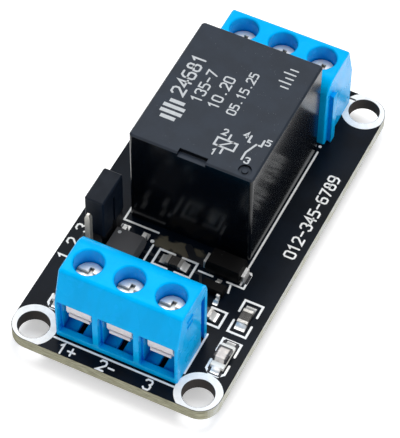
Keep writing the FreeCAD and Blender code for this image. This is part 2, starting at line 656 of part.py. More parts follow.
def bobbin_tube_radius():
    return CORE_DIAMETER / 2 + COIL_CLEARANCE + BOBBIN_TUBE_WALL


def relay_bobbin():
    half = BOBBIN_FLANGE / 2
    bore = CORE_DIAMETER / 2 + COIL_CLEARANCE
    front = YOKE_INNER + COIL_CLEARANCE
    rear = 2 * COIL_CENTRE - front
    lower = box(-half, half, front, rear, YOKE_FLOOR, YOKE_FLOOR + BOBBIN_FLANGE_THICKNESS)
    upper = box(-half, half, front, rear, BOBBIN_TOP - BOBBIN_FLANGE_THICKNESS, BOBBIN_TOP)
    tube = cylinder(bobbin_tube_radius(), 0.0, COIL_CENTRE, YOKE_FLOOR, BOBBIN_TOP)
    lugs = []
    for side in (-1, 1):
        pin_x = side * COIL_PIN_SPACING / 2
        x0, x1 = sorted((side * half, pin_x + side * RELAY_PIN_WIDTH / 2))
        pin_y = COIL_PIN_FROM_FRONT
        lugs.append(box(x0, x1, pin_y - RELAY_PIN_WIDTH, pin_y + RELAY_PIN_WIDTH,
                        YOKE_FLOOR, YOKE_FLOOR + BOBBIN_FLANGE_THICKNESS))
    bobbin = fused([lower, upper, tube] + lugs)
    return bobbin.cut(cylinder(bore, 0.0, COIL_CENTRE, YOKE_FLOOR, BOBBIN_TOP))


def relay_winding():
    z0 = YOKE_FLOOR + BOBBIN_FLANGE_THICKNESS
    z1 = BOBBIN_TOP - BOBBIN_FLANGE_THICKNESS
    return ring(WINDING_DIAMETER / 2, bobbin_tube_radius(), 0.0, COIL_CENTRE, z0, z1)


def relay_armature():
    half = YOKE_WIDTH / 2
    return box(-half, half, YOKE_FROM_FRONT, ARMATURE_END, YOKE_TOP, ARMATURE_TOP)


def relay_spring_leg():
    """The fixed leg of the return spring, flat on the yoke's face below the armature's hinge edge."""
    half = BLADE_WIDTH / 2
    return box(-half, half, YOKE_FROM_FRONT - BLADE_THICKNESS, YOKE_FROM_FRONT,
               YOKE_TOP - SPRING_LEG_LENGTH, YOKE_TOP)


def relay_moving_contact():
    """The blade on the armature with a contact button on each side of its free end."""
    half = BLADE_WIDTH / 2
    radius = BUTTON_DIAMETER / 2
    blade = box(-half, half, YOKE_INNER, CONTACT_REACH, ARMATURE_TOP, BLADE_TOP)
    upper = cylinder(radius, 0.0, CONTACT_Y, BLADE_TOP, CLOSED_TOP)
    lower = cylinder(radius, 0.0, CONTACT_Y, ARMATURE_TOP - BUTTON_THICKNESS, ARMATURE_TOP)
    return fused([blade, upper, lower])


def fixed_contact(side, button_z0, button_z1, strap_z0, strap_z1):
    """A pin in the base, a riser and a strap that reaches in to its contact button."""
    pin_x = side * CONTACT_PIN_SPACING / 2
    outer = pin_x + side * STRAP_WIDTH / 2
    inner = pin_x - side * STRAP_WIDTH / 2
    x0, x1 = sorted((outer, inner))
    thickness = STRAP_THICKNESS / 2
    riser = box(x0, x1, CONTACT_PIN_Y - thickness, CONTACT_PIN_Y + thickness, BASE_TOP, strap_z1)
    reach0, reach1 = sorted((outer, 0.0))
    strap = box(reach0, reach1, CONTACT_Y - BUTTON_DIAMETER / 2, CONTACT_PIN_Y + thickness,
                strap_z0, strap_z1)
    button = cylinder(BUTTON_DIAMETER / 2, 0.0, CONTACT_Y, button_z0, button_z1)
    return fused([riser, strap, button, relay_pin(pin_x, CONTACT_PIN_Y, BASE_TOP)])


def relay_closed_contact():
    top = CLOSED_TOP + BUTTON_THICKNESS / 2
    return fixed_contact(-1, CLOSED_TOP, top, top, top + STRAP_THICKNESS)


def relay_open_contact():
    bottom = OPEN_TOP - BUTTON_THICKNESS / 2
    return fixed_contact(1, bottom, OPEN_TOP, bottom - STRAP_THICKNESS, bottom)


def relay_pin(x, y, top):
    half_x = RELAY_PIN_WIDTH / 2
    half_y = RELAY_PIN_THICKNESS / 2
    return front_prism([(x - half_x, top, 0.0), (x + half_x, top, 0.0),
                        (x + half_x, TAIL_TIP + half_x, 0.0), (x + half_x / 2, TAIL_TIP, 0.0),
                        (x - half_x / 2, TAIL_TIP, 0.0), (x - half_x, TAIL_TIP + half_x, 0.0)],
                       y - half_y, y + half_y)


def relay_coil_pins():
    pins = []
    for side in (-1, 1):
        pins.append(relay_pin(side * COIL_PIN_SPACING / 2, COIL_PIN_FROM_FRONT, YOKE_FLOOR))
    return group(pins)


def relay():
    makers = {"cover": relay_cover, "base": relay_base, "yoke": relay_yoke, "core": relay_core,
              "bobbin": relay_bobbin, "winding": relay_winding, "armature": relay_armature,
              "spring_leg": relay_spring_leg, "moving_contact": relay_moving_contact,
              "closed_contact": relay_closed_contact, "open_contact": relay_open_contact,
              "coil_pins": relay_coil_pins}
    nodes = {}
    for piece, maker in makers.items():
        nodes["relay_" + piece] = moved(maker(), 0.0, RELAY_FRONT, BOARD_TOP)
    common = relay_pin(0.0, COMMON_PIN_FROM_FRONT, BASE_TOP)
    nodes["relay_common_pin"] = moved(common, 0.0, RELAY_FRONT, BOARD_TOP)
    return nodes


# Header and jumper

def header_base():
    """A row of eight-sided blocks, one to a pin."""
    blocks = []
    half_x = HEADER_WIDTH / 2
    half_y = HEADER_PITCH / 2
    cut = HEADER_CHAMFER
    for x, y in header_pin_places():
        corners = [(x - half_x + cut, y - half_y, 0.0), (x + half_x - cut, y - half_y, 0.0),
                   (x + half_x, y - half_y + cut, 0.0), (x + half_x, y + half_y - cut, 0.0),
                   (x + half_x - cut, y + half_y, 0.0), (x - half_x + cut, y + half_y, 0.0),
                   (x - half_x, y + half_y - cut, 0.0), (x - half_x, y - half_y + cut, 0.0)]
        blocks.append(plan_prism(corners, BOARD_TOP, BOARD_TOP + HEADER_HEIGHT))
    base = fused(blocks)
    half_pin = HEADER_PIN_SIZE / 2
    for x, y in header_pin_places():
        base = base.cut(box(x - half_pin, x + half_pin, y - half_pin, y + half_pin,
                            BOARD_TOP, BOARD_TOP + HEADER_HEIGHT))
    return base


def header_pin(x, y):
    """A square pin with a short pyramid at each end."""
    half = HEADER_PIN_SIZE / 2
    top = BOARD_TOP + HEADER_PIN_REACH
    levels = ((0.0, half / 2), (HEADER_PIN_TAPER, half), (top - HEADER_PIN_TAPER, half), (top, half / 2))
    wires = []
    for level, size in levels:
        points = [Vector(x - size, y - size, level), Vector(x + size, y - size, level),
                  Vector(x + size, y + size, level), Vector(x - size, y + size, level)]
        wires.append(Part.makePolygon(points + points[:1]))
    return Part.makeLoft(wires, True, True)


def cap_centre():
    places = header_pin_places()
    return HEADER_X, (places[0][1] + places[1][1]) / 2


def clip_size():
    """Outer width and length of the spring clip, which holds two pins."""
    bore = HEADER_PIN_SIZE + 2 * CLIP_CLEARANCE
    return bore + 2 * CLIP_WALL, HEADER_PITCH + bore + 2 * CLIP_WALL


def jumper_cap():
    x, y = cap_centre()
    z0 = BOARD_TOP + HEADER_HEIGHT
    z1 = z0 + CAP_HEIGHT
    shell = box(x - CAP_WIDTH / 2, x + CAP_WIDTH / 2, y - CAP_LENGTH / 2, y + CAP_LENGTH / 2, z0, z1)
    rim = [edge for edge in shell.Edges if edge.BoundBox.ZMax > z0 + TINY]
    shell = shell.makeChamfer(CAP_EDGE_BEVEL, rim)
    width, length = clip_size()
    pocket = box(x - width / 2, x + width / 2, y - length / 2, y + length / 2, z0, z1 - CAP_ROOF)
    shell = shell.cut(pocket)
    for side in (-1, 1):
        x0, x1 = sorted((x + side * CAP_WIDTH / 2, x + side * (CAP_WIDTH / 2 - CAP_GROOVE_DEPTH)))
        shell = shell.cut(box(x0, x1, y - CAP_GROOVE_WIDTH / 2, y + CAP_GROOVE_WIDTH / 2,
                              z0, z1 - 2 * CAP_ROOF))
    return shell


def jumper_clip():
    x, y = cap_centre()
    z0 = BOARD_TOP + HEADER_HEIGHT + CLIP_LIFT
    width, length = clip_size()
    clip = box(x - width / 2, x + width / 2, y - length / 2, y + length / 2, z0, z0 + CLIP_HEIGHT)
    half = HEADER_PIN_SIZE / 2 + CLIP_CLEARANCE
    for pin_x, pin_y in header_pin_places()[:2]:
        clip = clip.cut(box(pin_x - half, pin_x + half, pin_y - half, pin_y + half,
                            z0, z0 + CLIP_HEIGHT))
    return clip


# Surface-mount parts, each about its own centre and standing on its pads

PAD_TOP = BOARD_TOP + PAD_THICKNESS


def chip(length, width, height):
    """A chip resistor along X: the ceramic body and the two metal ends that wrap it."""
    half = length / 2
    half_width = width / 2
    inner = half - CHIP_CAP_LENGTH
    z0 = PAD_TOP + CHIP_CAP_WRAP
    body = fused([box(-inner, inner, -half_width, half_width, z0, z0 + height),
                  box(-half + CHIP_CAP_WRAP, half - CHIP_CAP_WRAP, -half_width + CHIP_CAP_WRAP,
                      half_width - CHIP_CAP_WRAP, z0, z0 + height - CHIP_CAP_WRAP)])
    caps = []
    for side in (-1, 1):
        x0, x1 = sorted((side * half, side * inner))
        block = box(x0, x1, -half_width, half_width, PAD_TOP, z0 + height)
        caps.append(block.cut(body))
    return body, group(caps)


def chip_pads(length, width):
    pads = []
    for side in (-1, 1):
        inner = side * (length / 2 - CHIP_PAD_OVERLAP)
        x0, x1 = sorted((inner, inner + side * CHIP_PAD_LENGTH))
        half = width / 2 + CHIP_PAD_MARGIN
        pads.append(box(x0, x1, -half, half, BOARD_TOP, PAD_TOP))
    return group(pads)


def lamp():
    """A chip lamp along X: a base plate with metal ends, and a clear block on it."""
    half = LAMP_LENGTH / 2
    half_width = LAMP_WIDTH / 2
    base = box(-half, half, -half_width, half_width, PAD_TOP, PAD_TOP + LAMP_BASE_HEIGHT)
    inset = LAMP_DOME_HEIGHT / 4
    bottom = PAD_TOP + LAMP_BASE_HEIGHT
    top = bottom + LAMP_DOME_HEIGHT
    foot = LAMP_DOME_LENGTH / 2
    lens = front_prism([(-foot, bottom, 0.0), (foot, bottom, 0.0), (foot - inset, top, 0.0),
                        (-foot + inset, top, 0.0)], -half_width, half_width)
    return base, lens


def gull_lead(width, reach, span, height, foot):
    """A flat lead that leaves the body at half height and bends down to its pad, along +X."""
    middle = PAD_TOP + BODY_STANDOFF + height / 2
    tip = span / 2
    bend = tip - foot
    half = LEAD_THICKNESS / 2
    corners = [(reach, middle - half, 0.0), (bend - LEAD_THICKNESS, middle - half, 0.0),
               (bend - LEAD_THICKNESS, PAD_TOP, 0.0), (tip, PAD_TOP, 0.0),
               (tip, PAD_TOP + LEAD_THICKNESS, 0.0), (bend, PAD_TOP + LEAD_THICKNESS, 0.0),
               (bend, middle + half, 0.0), (reach, middle + half, 0.0)]
    return front_prism(corners, -width / 2, width / 2)


def lead_pads(leads):
    """A pad under each lead's foot, from the leads' own outlines."""
    pads = []
    for lead in leads:
        bounds = lead.BoundBox
        turned = bounds.YLength > bounds.XLength
        x_margin = CHIP_PAD_MARGIN if turned else 0.0
        y_margin = 0.0 if turned else CHIP_PAD_MARGIN
        if turned:
            sign = 1 if bounds.Center.y > 0 else -1
            far = bounds.YMax if sign > 0 else bounds.YMin
            y0, y1 = sorted((far - sign * LEAD_FOOT, far + sign * LEAD_FOOT / 4))
            pads.append(box(bounds.XMin - x_margin, bounds.XMax + x_margin, y0, y1, BOARD_TOP, PAD_TOP))
        else:
            sign = 1 if bounds.Center.x > 0 else -1
            far = bounds.XMax if sign > 0 else bounds.XMin
            x0, x1 = sorted((far - sign * LEAD_FOOT, far + sign * LEAD_FOOT / 4))
            pads.append(box(x0, x1, bounds.YMin - y_margin, bounds.YMax + y_margin, BOARD_TOP, PAD_TOP))
    return pads


def diode():
    """A power diode along X, with a strip lead bent under each end of the body."""
    body = tapered_body(DIODE_LENGTH, DIODE_WIDTH, DIODE_HEIGHT, DIODE_DRAFT, PAD_TOP + BODY_STANDOFF)
    tip = DIODE_LEAD_SPAN / 2
    half_width = DIODE_LEAD_WIDTH / 2
    middle = PAD_TOP + BODY_STANDOFF + DIODE_HEIGHT / 2
    half = LEAD_THICKNESS / 2
    leads = []
    for turn in (0, 180):
        corners = [(DIODE_LENGTH / 2 - LEAD_FOOT, PAD_TOP, 0.0), (tip, PAD_TOP, 0.0),
                   (tip, middle + half, 0.0), (DIODE_LENGTH / 2 - DIODE_DRAFT, middle + half, 0.0),
                   (DIODE_LENGTH / 2 - DIODE_DRAFT, middle - half, 0.0),
                   (tip - LEAD_THICKNESS, middle - half, 0.0),
                   (tip - LEAD_THICKNESS, PAD_TOP + LEAD_THICKNESS, 0.0),
                   (DIODE_LENGTH / 2 - LEAD_FOOT, PAD_TOP + LEAD_THICKNESS, 0.0)]
        lead = front_prism(corners, -half_width, half_width)
        leads.append(moved(lead.cut(body), turn=turn))
    pads = []
    for side in (-1, 1):
        x0, x1 = sorted((side * (DIODE_LENGTH / 2 - LEAD_FOOT), side * (tip + LEAD_FOOT / 2)))
        pads.append(box(x0, x1, -half_width, half_width, BOARD_TOP, PAD_TOP))
    return body, leads, pads


def coupler():
    """The optocoupler: a moulded body with two gull leads on each end, along Y."""
    body = tapered_body(OPTO_WIDTH, OPTO_LENGTH, OPTO_HEIGHT, OPTO_DRAFT, PAD_TOP + BODY_STANDOFF)
    leads = []
    for turn in (90, -90):
        for shift in (-OPTO_LEAD_PITCH / 2, OPTO_LEAD_PITCH / 2):
            lead = gull_lead(OPTO_LEAD_WIDTH, OPTO_LENGTH / 2 - OPTO_DRAFT, OPTO_LEAD_SPAN,
                             OPTO_HEIGHT, LEAD_FOOT)
            leads.append(moved(lead, x=shift, turn=turn).cut(body))
    return body, leads, lead_pads(leads)


def transistor():
    """A three-lead transistor: two leads towards the input terminal and one away from it."""
    body = tapered_body(TRANSISTOR_WIDTH, TRANSISTOR_LENGTH, TRANSISTOR_HEIGHT, TRANSISTOR_DRAFT,
                        PAD_TOP + BODY_STANDOFF)
    foot = LEAD_FOOT / 2
    leads = []
    for shift, turn in ((-TRANSISTOR_LEAD_PITCH / 2, -90), (TRANSISTOR_LEAD_PITCH / 2, -90), (0.0, 90)):
        lead = gull_lead(TRANSISTOR_LEAD_WIDTH, TRANSISTOR_LENGTH / 2 - TRANSISTOR_DRAFT,
                         TRANSISTOR_LEAD_SPAN, TRANSISTOR_HEIGHT, foot)
        leads.append(moved(lead, x=shift, turn=turn).cut(body))
    return body, leads, lead_pads(leads)


def surface_parts():
    side = BOARD_WIDTH / 2
    chips = {"resistor_1": (CHIP_A_SHIFT, RELAY_FRONT - CHIP_A_FROM_RELAY, 0),
             "resistor_2": (side - CHIP_B_FROM_SIDE, RELAY_FRONT - CHIP_B_FROM_RELAY, 90),
             "resistor_3": (CHIP_C_SHIFT, INPUT_BACK + CHIP_C_FROM_TERMINAL, 0)}
    lamps = {"status_lamp": (side - STATUS_LAMP_FROM_SIDE, LAMP_Y),
             "power_lamp": (-side + POWER_LAMP_FROM_SIDE, LAMP_Y)}
    packages = {"optocoupler": (coupler, OPTO_X, OPTO_Y),
                "diode": (diode, DIODE_SHIFT, RELAY_FRONT - DIODE_FROM_RELAY),
                "transistor": (transistor, TRANSISTOR_SHIFT, RELAY_FRONT - TRANSISTOR_FROM_RELAY)}
    nodes = {}
    pads = []
    for name, (x, y, turn) in chips.items():
        body, caps = chip(CHIP_LENGTH, CHIP_WIDTH, CHIP_HEIGHT)
        nodes[name + "_body"] = moved(body, x, y, 0.0, turn)
        nodes[name + "_ends"] = moved(caps, x, y, 0.0, turn)
        pads.append(moved(chip_pads(CHIP_LENGTH, CHIP_WIDTH), x, y, 0.0, turn))
    for name, (x, y) in lamps.items():
        base, lens = lamp()
        nodes[name + "_base"] = moved(base, x, y, 0.0, 90)
        nodes[name + "_lens"] = moved(lens, x, y, 0.0, 90)
        pads.append(moved(chip_pads(LAMP_LENGTH, LAMP_WIDTH), x, y, 0.0, 90))
    for name, (maker, x, y) in packages.items():
        body, leads, feet = maker()
        nodes[name + "_body"] = moved(body, x, y)
        nodes[name + "_leads"] = group([moved(lead, x, y) for lead in leads])
        pads.append(moved(group(feet), x, y))
    solids = []
    for pad in pads:
        solids += pad.Solids
    nodes["surface_pads"] = group(solids)
    return nodes


def build():
    nodes = {"circuit_board": board(), "solder_joints": solder_joints()}
    nodes.update(screw_terminal("input_terminal", INPUT_SHIFT, INPUT_FRONT, 0))
    nodes.update(screw_terminal("output_terminal", OUTPUT_SHIFT, OUTPUT_FRONT, 180))
    nodes.update(relay())
    nodes["header_base"] = header_base()
    for index, (x, y) in enumerate(header_pin_places()):
        nodes["header_pin_%d" % (index + 1)] = header_pin(x, y)
    nodes["jumper_cap"] = jumper_cap()
    nodes["jumper_clip"] = jumper_clip()
    nodes.update(surface_parts())
    return nodes


os.makedirs("parts", exist_ok=True)
for node, shape in build().items():
    shape.exportStep("parts/%s.step" % node)
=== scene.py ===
import json
import math

import bmesh
import bpy
from mathutils import Matrix, Vector

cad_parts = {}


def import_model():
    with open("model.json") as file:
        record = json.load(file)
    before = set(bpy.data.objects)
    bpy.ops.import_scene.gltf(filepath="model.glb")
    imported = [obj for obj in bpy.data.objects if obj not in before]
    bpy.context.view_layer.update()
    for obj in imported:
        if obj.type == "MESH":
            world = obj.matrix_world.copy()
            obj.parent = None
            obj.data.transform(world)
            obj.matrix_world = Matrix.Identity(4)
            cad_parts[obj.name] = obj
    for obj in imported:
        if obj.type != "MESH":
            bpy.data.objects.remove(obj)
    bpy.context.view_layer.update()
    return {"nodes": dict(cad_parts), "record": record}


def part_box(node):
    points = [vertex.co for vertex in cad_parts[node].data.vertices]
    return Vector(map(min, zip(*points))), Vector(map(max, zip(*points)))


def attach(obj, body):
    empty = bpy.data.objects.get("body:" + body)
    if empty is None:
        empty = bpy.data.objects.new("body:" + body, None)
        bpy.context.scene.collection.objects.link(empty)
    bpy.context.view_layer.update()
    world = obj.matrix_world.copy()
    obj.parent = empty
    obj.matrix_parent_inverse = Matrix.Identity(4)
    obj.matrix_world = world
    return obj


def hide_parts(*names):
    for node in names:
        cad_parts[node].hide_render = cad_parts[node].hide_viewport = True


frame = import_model()

bl_info = {
    "name": "Relay module board looks",
    "version": (1, 0, 0),
    "blender": (4, 5, 0),
    "location": "3D View > Sidebar > Relay board",
    "description": "Dresses the packed relay module board: finishes, print, solder, screws, wire and stage",
    "category": "Object",
}

MM = 0.001
MODULE = "module"
TERMINALS = ("input_terminal", "output_terminal")
POLES = (1, 2, 3)
LAMPS = ("status_lamp", "power_lamp")

# The board's corner radius, and sizes for drawing its print, copper, solder and screws

CORNER_RADIUS = 2.5 * MM
EDGE_HAIR = 0.05 * MM
RING_POINTS = 96
RING_TRIM = 0.01 * MM
NUMBER_PEN = 0.22 * MM
COPPER_ROOT = 0.005 * MM
TAIL_HALF = 0.5 * MM
PIN_HALF = 0.32 * MM
FILLET_EDGE = 0.02 * MM
FILLET_RUN = 0.75 * MM
FILLET_HEIGHT = 0.4 * MM
LAMP_FILLET_HEIGHT = 0.5 * MM
LEAD_FILLET_RUN = 0.5 * MM
LEAD_FILLET_HEIGHT = 0.3 * MM
HEAD_HEIGHT = 1.0 * MM
SHANK_RADIUS = 1.2 * MM
CAP_STEPS = 5
SHARPEST_MITRE = 0.35

# Tones, and how far a metal's drawn lines are stretched along an axis

WHITE = (1.0, 1.0, 1.0)
PALE_DUST = (0.45, 0.45, 0.45)
COVER_DUST = (0.3, 0.3, 0.32)
# Share of a metal's tone left in its hollows: painted shade
HOLLOW_SHADE = 0.14
EVEN = (1.0, 1.0, 1.0)
ALONG_X = (0.1, 1.0, 1.0)
ALONG_Y = (1.0, 0.08, 1.0)
ALONG_Z = (1.0, 1.0, 0.06)


# Sizes and colours a user would change


def length(name, description, default_mm):
    return bpy.props.FloatProperty(name=name, description=description, default=default_mm * MM,
                                   min=0.0, unit="LENGTH", precision=5)


def colour(name, description, default):
    return bpy.props.FloatVectorProperty(name=name, description=description, default=default,
                                         size=3, min=0.0, max=1.0, subtype="COLOR")


def angle(name, description, default_degrees):
    return bpy.props.FloatProperty(name=name, description=description, default=math.radians(default_degrees),
                                   subtype="ANGLE")


class BoardLooks(bpy.types.PropertyGroup):
    mask_colour: colour("Solder mask", "Colour of the lacquer over the board's faces",
                        (0.0018, 0.0038, 0.0075))
    trace_colour: colour("Lacquered copper", "Colour of the lacquer where copper lies under it",
                         (0.0045, 0.0060, 0.0095))
    laminate_colour: colour("Laminate", "Colour of the board's sawn edge", (0.36, 0.35, 0.25))
    # Painted light: the paler colour given to the board's sides facing ±x, against the sawn ends
    sidelit_colour: colour("Milled edge", "Colour of the board's long, milled sides", (0.68, 0.70, 0.73))
    bore_colour: colour("Bored wall", "Colour of the mounting holes' walls", (0.065, 0.058, 0.055))
    pad_colour: colour("Pads", "Colour of the flux-darkened pads round the small parts", (0.035, 0.036, 0.04))
    # Painted reflection: the brownish patch of light on the lacquer in front of the relay
    reflection_patch_colour: colour("Flux", "Colour of the dried flux in front of the relay", (0.12, 0.105, 0.075))
    trace_height: length("Trace height", "How far a copper trace stands up under the lacquer", 0.03)
    ink_colour: colour("Print", "Colour of the white ink on the board", (0.93, 0.94, 0.94))
    ink_height: length("Print height", "Thickness of the ink", 0.02)
    ink_stroke: length("Outline stroke", "Width of the printed brackets", 0.27)
    ink_fine_stroke: length("Fine stroke", "Width of the printed frame lines", 0.24)
    ring_reach: length("Ring reach", "Outer radius of the printed ring round a mounting hole", 2.78)
    number_height: length("Number height", "Height of the printed numbers", 1.45)
    solder_colour: colour("Solder", "Colour of the solder and the tinned parts", (0.76, 0.76, 0.75))


class TerminalLooks(bpy.types.PropertyGroup):
    plastic_colour: colour("Housing", "Colour of the terminal housings", (0.0, 0.47, 0.98))
    # Painted shade: the deeper blue given to the housing's recesses
    recess_shade_colour: colour("Housing, deep", "Colour of the housing's recesses", (0.0, 0.10, 0.66))
    shine_colour: colour("Housing shine", "Tint of the housing's reflections", (0.0, 0.35, 1.0))
    screw_colour: colour("Screw", "Colour of the plated screws", (0.97, 0.91, 0.80))
    cage_colour: colour("Cage", "Colour of the plated clamp cages", (0.95, 0.90, 0.90))
    contact_colour: colour("Contact", "Colour of the tinned contact strips", (0.97, 0.92, 0.91))
    slot_width: length("Slot width", "Width of the screwdriver slot", 0.55)
    slot_depth: length("Slot depth", "Depth of the screwdriver slot", 0.45)
    thread_pitch: length("Thread pitch", "Distance between the screw's threads", 0.45)
    thread_height: length("Thread height", "How far the thread's crest stands from its root", 0.2)


class RelayLooks(bpy.types.PropertyGroup):
    cover_colour: colour("Cover", "Colour of the relay's cover", (0.0115, 0.0185, 0.031))
    print_colour: colour("Print", "Colour of the print on the cover", (0.50, 0.53, 0.56))
    print_stroke: length("Print stroke", "Width of the print's lines", 0.24)
    copper_colour: colour("Winding", "Colour of the enamelled copper wire", (0.62, 0.20, 0.07))
    bobbin_colour: colour("Bobbin", "Colour of the bobbin under the winding", (0.72, 0.70, 0.62))
    bronze_colour: colour("Spring", "Colour of the contact springs", (0.72, 0.44, 0.20))
    iron_colour: colour("Iron", "Colour of the plated iron", (0.62, 0.62, 0.60))
    contact_colour: colour("Contact pins", "Colour of the tinned contact strips", (0.80, 0.77, 0.70))
    wire_diameter: length("Wire diameter", "Thickness of the winding's wire", 0.28)


class SmallPartLooks(bpy.types.PropertyGroup):
    header_colour: colour("Header", "Colour of the header's base", (0.010, 0.010, 0.012))
    jumper_colour: colour("Jumper", "Colour of the jumper cap", (0.004, 0.008, 0.016))
    pin_colour: colour("Pins", "Colour of the header's pins", (0.52, 0.50, 0.45))
    epoxy_colour: colour("Package", "Colour of the moulded packages", (0.007, 0.0075, 0.009))
    diode_colour: colour("Diode", "Colour of the diode's and the transistor's packages",
                         (0.0018, 0.0016, 0.0018))
    chip_end_colour: colour("Chip ends", "Colour of the small chips' plated ends", (0.42, 0.41, 0.39))
    ceramic_colour: colour("Resistor", "Colour of the resistor's glaze", (0.045, 0.040, 0.036))
    marking_colour: colour("Marking", "Colour of the marks on the packages", (0.42, 0.43, 0.44))
    lamp_plate_colour: colour("Lamp plate", "Colour of the lamp's base plate", (0.56, 0.53, 0.50))
    lamp_lens_colour: colour("Lamp block", "Colour of the lamp's resin block", (0.78, 0.70, 0.64))
    lamp_rim_colour: colour("Lamp rim", "Colour of the clear rim round the lamp's milky middle",
                            (0.030, 0.029, 0.032))
    lamp_core_width: length("Lamp core", "Width of the lamp's milky middle", 1.05)


class StageLooks(bpy.types.PropertyGroup):
    lens_mm: bpy.props.FloatProperty(name="Focal length", description="The camera's focal length",
                                     default=194.08, min=1.0)
    azimuth: angle("Azimuth", "The camera's turn about the board", 25.6)
    elevation: angle("Elevation", "The camera's height above the horizon", 52.63)
    roll: angle("Roll", "The camera's turn about its own line of sight", 0.78)
    distance: length("Distance", "From the camera to the point it looks at", 275.7)
    floor_near: length("Floor near", "Distance up to which the floor shows the object's shadow", 58.0)
    floor_far: length("Floor far", "Distance beyond which the floor is plain white", 200.0)
    floor_colour: colour("Floor", "Colour of the floor", (0.84, 0.84, 0.843))


def looks(name):
    """One of the property groups, from the scene."""
    return getattr(bpy.context.scene, "relay_board_" + name)


# Places, read from the frame


def box(*nodes):
    """Lowest and highest corner of some nodes together."""
    lows, highs = zip(*(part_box(node) for node in nodes))
    low = Vector([min(p[i] for p in lows) for i in range(3)])
    high = Vector([max(p[i] for p in highs) for i in range(3)])
    return low, high


def centre(node):
    low, high = box(node)
    return (low + high) / 2


def board_top():
    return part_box("circuit_board")[1].z


def mount():
    """The record's hole pattern: half spacings and the hole's radius, in metres."""
    for entry in frame["record"]["mounts"]:
        if entry["name"] == "mounting_holes":
            dims = entry["dims"]
            return (dims["spacing_x_mm"] * MM / 2, dims["spacing_y_mm"] * MM / 2, dims["hole_r_mm"] * MM)
    raise RuntimeError("the record has no mounting_holes")


# Nodes


class Tree:
    """A node tree under construction: short calls that make a node, set it and link it."""

    def __init__(self, tree):
        self.tree = tree

    def add(self, kind, settings=None, **inputs):
        node = self.tree.nodes.new(kind)
        for key, value in (settings or {}).items():
            setattr(node, key, value)
        self.fill(node, **inputs)
        return node

    def fill(self, node, **inputs):
        """Feeds a node's inputs by name, written with _ for a space."""
        for key, value in inputs.items():
            self.feed(node.inputs[key.replace("_", " ")], value)

    def feed(self, socket, value):
        if isinstance(value, bpy.types.NodeSocket):
            self.tree.links.new(value, socket)
        else:
            socket.default_value = value

    def math(self, operation, first, *others):
        """One operation, taken over its values in turn."""
        for second in others or (0.0,):
            node = self.add("ShaderNodeMath", {"operation": operation})
            self.feed(node.inputs[0], first)
            self.feed(node.inputs[1], second)
            first = node.outputs[0]
        return first

    def away(self, value, middle):
        """How far a value lies from a middle one."""
        return self.math("ABSOLUTE", self.math("SUBTRACT", value, middle))

    def ramp(self, value, low, high, out_low=0.0, out_high=1.0):
        node = self.add("ShaderNodeMapRange", {"interpolation_type": "SMOOTHSTEP"})
        for socket, given in zip(node.inputs, (value, low, high, out_low, out_high)):
            self.feed(socket, given)
        return node.outputs[0]

    def blend(self, factor, first, second):
        node = self.add("ShaderNodeMix", {"data_type": "RGBA"})
        self.feed(node.inputs[0], factor)
        self.feed(node.inputs[6], first)
        self.feed(node.inputs[7], second)
        return node.outputs[2]

    def noise(self, place, scale, detail):
        return self.add("ShaderNodeTexNoise", Vector=place, Scale=scale, Detail=detail).outputs[0]

    def stretched(self, place, scale):
        return self.add("ShaderNodeMapping", Vector=place, Scale=scale).outputs[0]

    def split(self, vector):
        return self.add("ShaderNodeSeparateXYZ", Vector=vector).outputs

    def group(self, group, **inputs):
        return self.add("ShaderNodeGroup", {"node_tree": group}, **inputs).outputs

    def openness(self, reach):
        """How little of the piece itself stands over a point, within a reach."""
        node = self.add("ShaderNodeAmbientOcclusion", {"samples": 8, "only_local": True}, Distance=reach)
        return node.outputs["AO"]


def rgba(tone, share=1.0):
    """A colour for a socket, lighter or darker by a share."""
    return (*(min(1.0, share * c) for c in tone), 1.0)


def shared_group(name, inputs, outputs, fill):
    """A shader node group, made once. An input whose default is no number is a vector."""
    group = bpy.data.node_groups.get(name)
    if group:
        return group
    group = bpy.data.node_groups.new(name, "ShaderNodeTree")
    for label, default in inputs.items():
        kind = "NodeSocketFloat" if isinstance(default, float) else "NodeSocketVector"
        socket = group.interface.new_socket(label, in_out="INPUT", socket_type=kind)
        if default is not None:
            socket.default_value = default
    for label in outputs:
        group.interface.new_socket(label, in_out="OUTPUT", socket_type="NodeSocketFloat")
    start = group.nodes.new("NodeGroupInput")
    end = group.nodes.new("NodeGroupOutput")
    fill(Tree(group), start.outputs, end.inputs)
    return group


# Noise values between which a pattern goes over from one tone to the other

MIDDLE = (0.35, 0.65)


def grain_group():
    """Moulded or cast grain: fine bumps over wider unevenness."""
    def fill(tree, given, out):
        fine = tree.noise(given["Place"], given["Fine"], 2.0)
        wide = tree.noise(given["Place"], given["Wide"], 3.0)
        tree.feed(out["Height"], tree.math("ADD", tree.math("MULTIPLY", fine, 0.5), wide))
        tree.feed(out["Patches"], tree.ramp(wide, *MIDDLE))
    return shared_group("grain", {"Place": None, "Fine": 9000.0, "Wide": 600.0}, ("Height", "Patches"), fill)


def drawn_group():
    """The fine lines that rolling, drawing or stamping leaves along one direction."""
    def fill(tree, given, out):
        lines = tree.noise(tree.stretched(given["Place"], given["Stretch"]), given["Lines"], 4.0)
        spots = tree.noise(given["Place"], 900.0, 3.0)
        tree.feed(out["Height"], lines)
        tree.feed(out["Tarnish"], tree.ramp(spots, 0.5, 0.72))
    inputs = {"Place": None, "Stretch": EVEN, "Lines": 3000.0}
    return shared_group("drawn_lines", inputs, ("Height", "Tarnish"), fill)


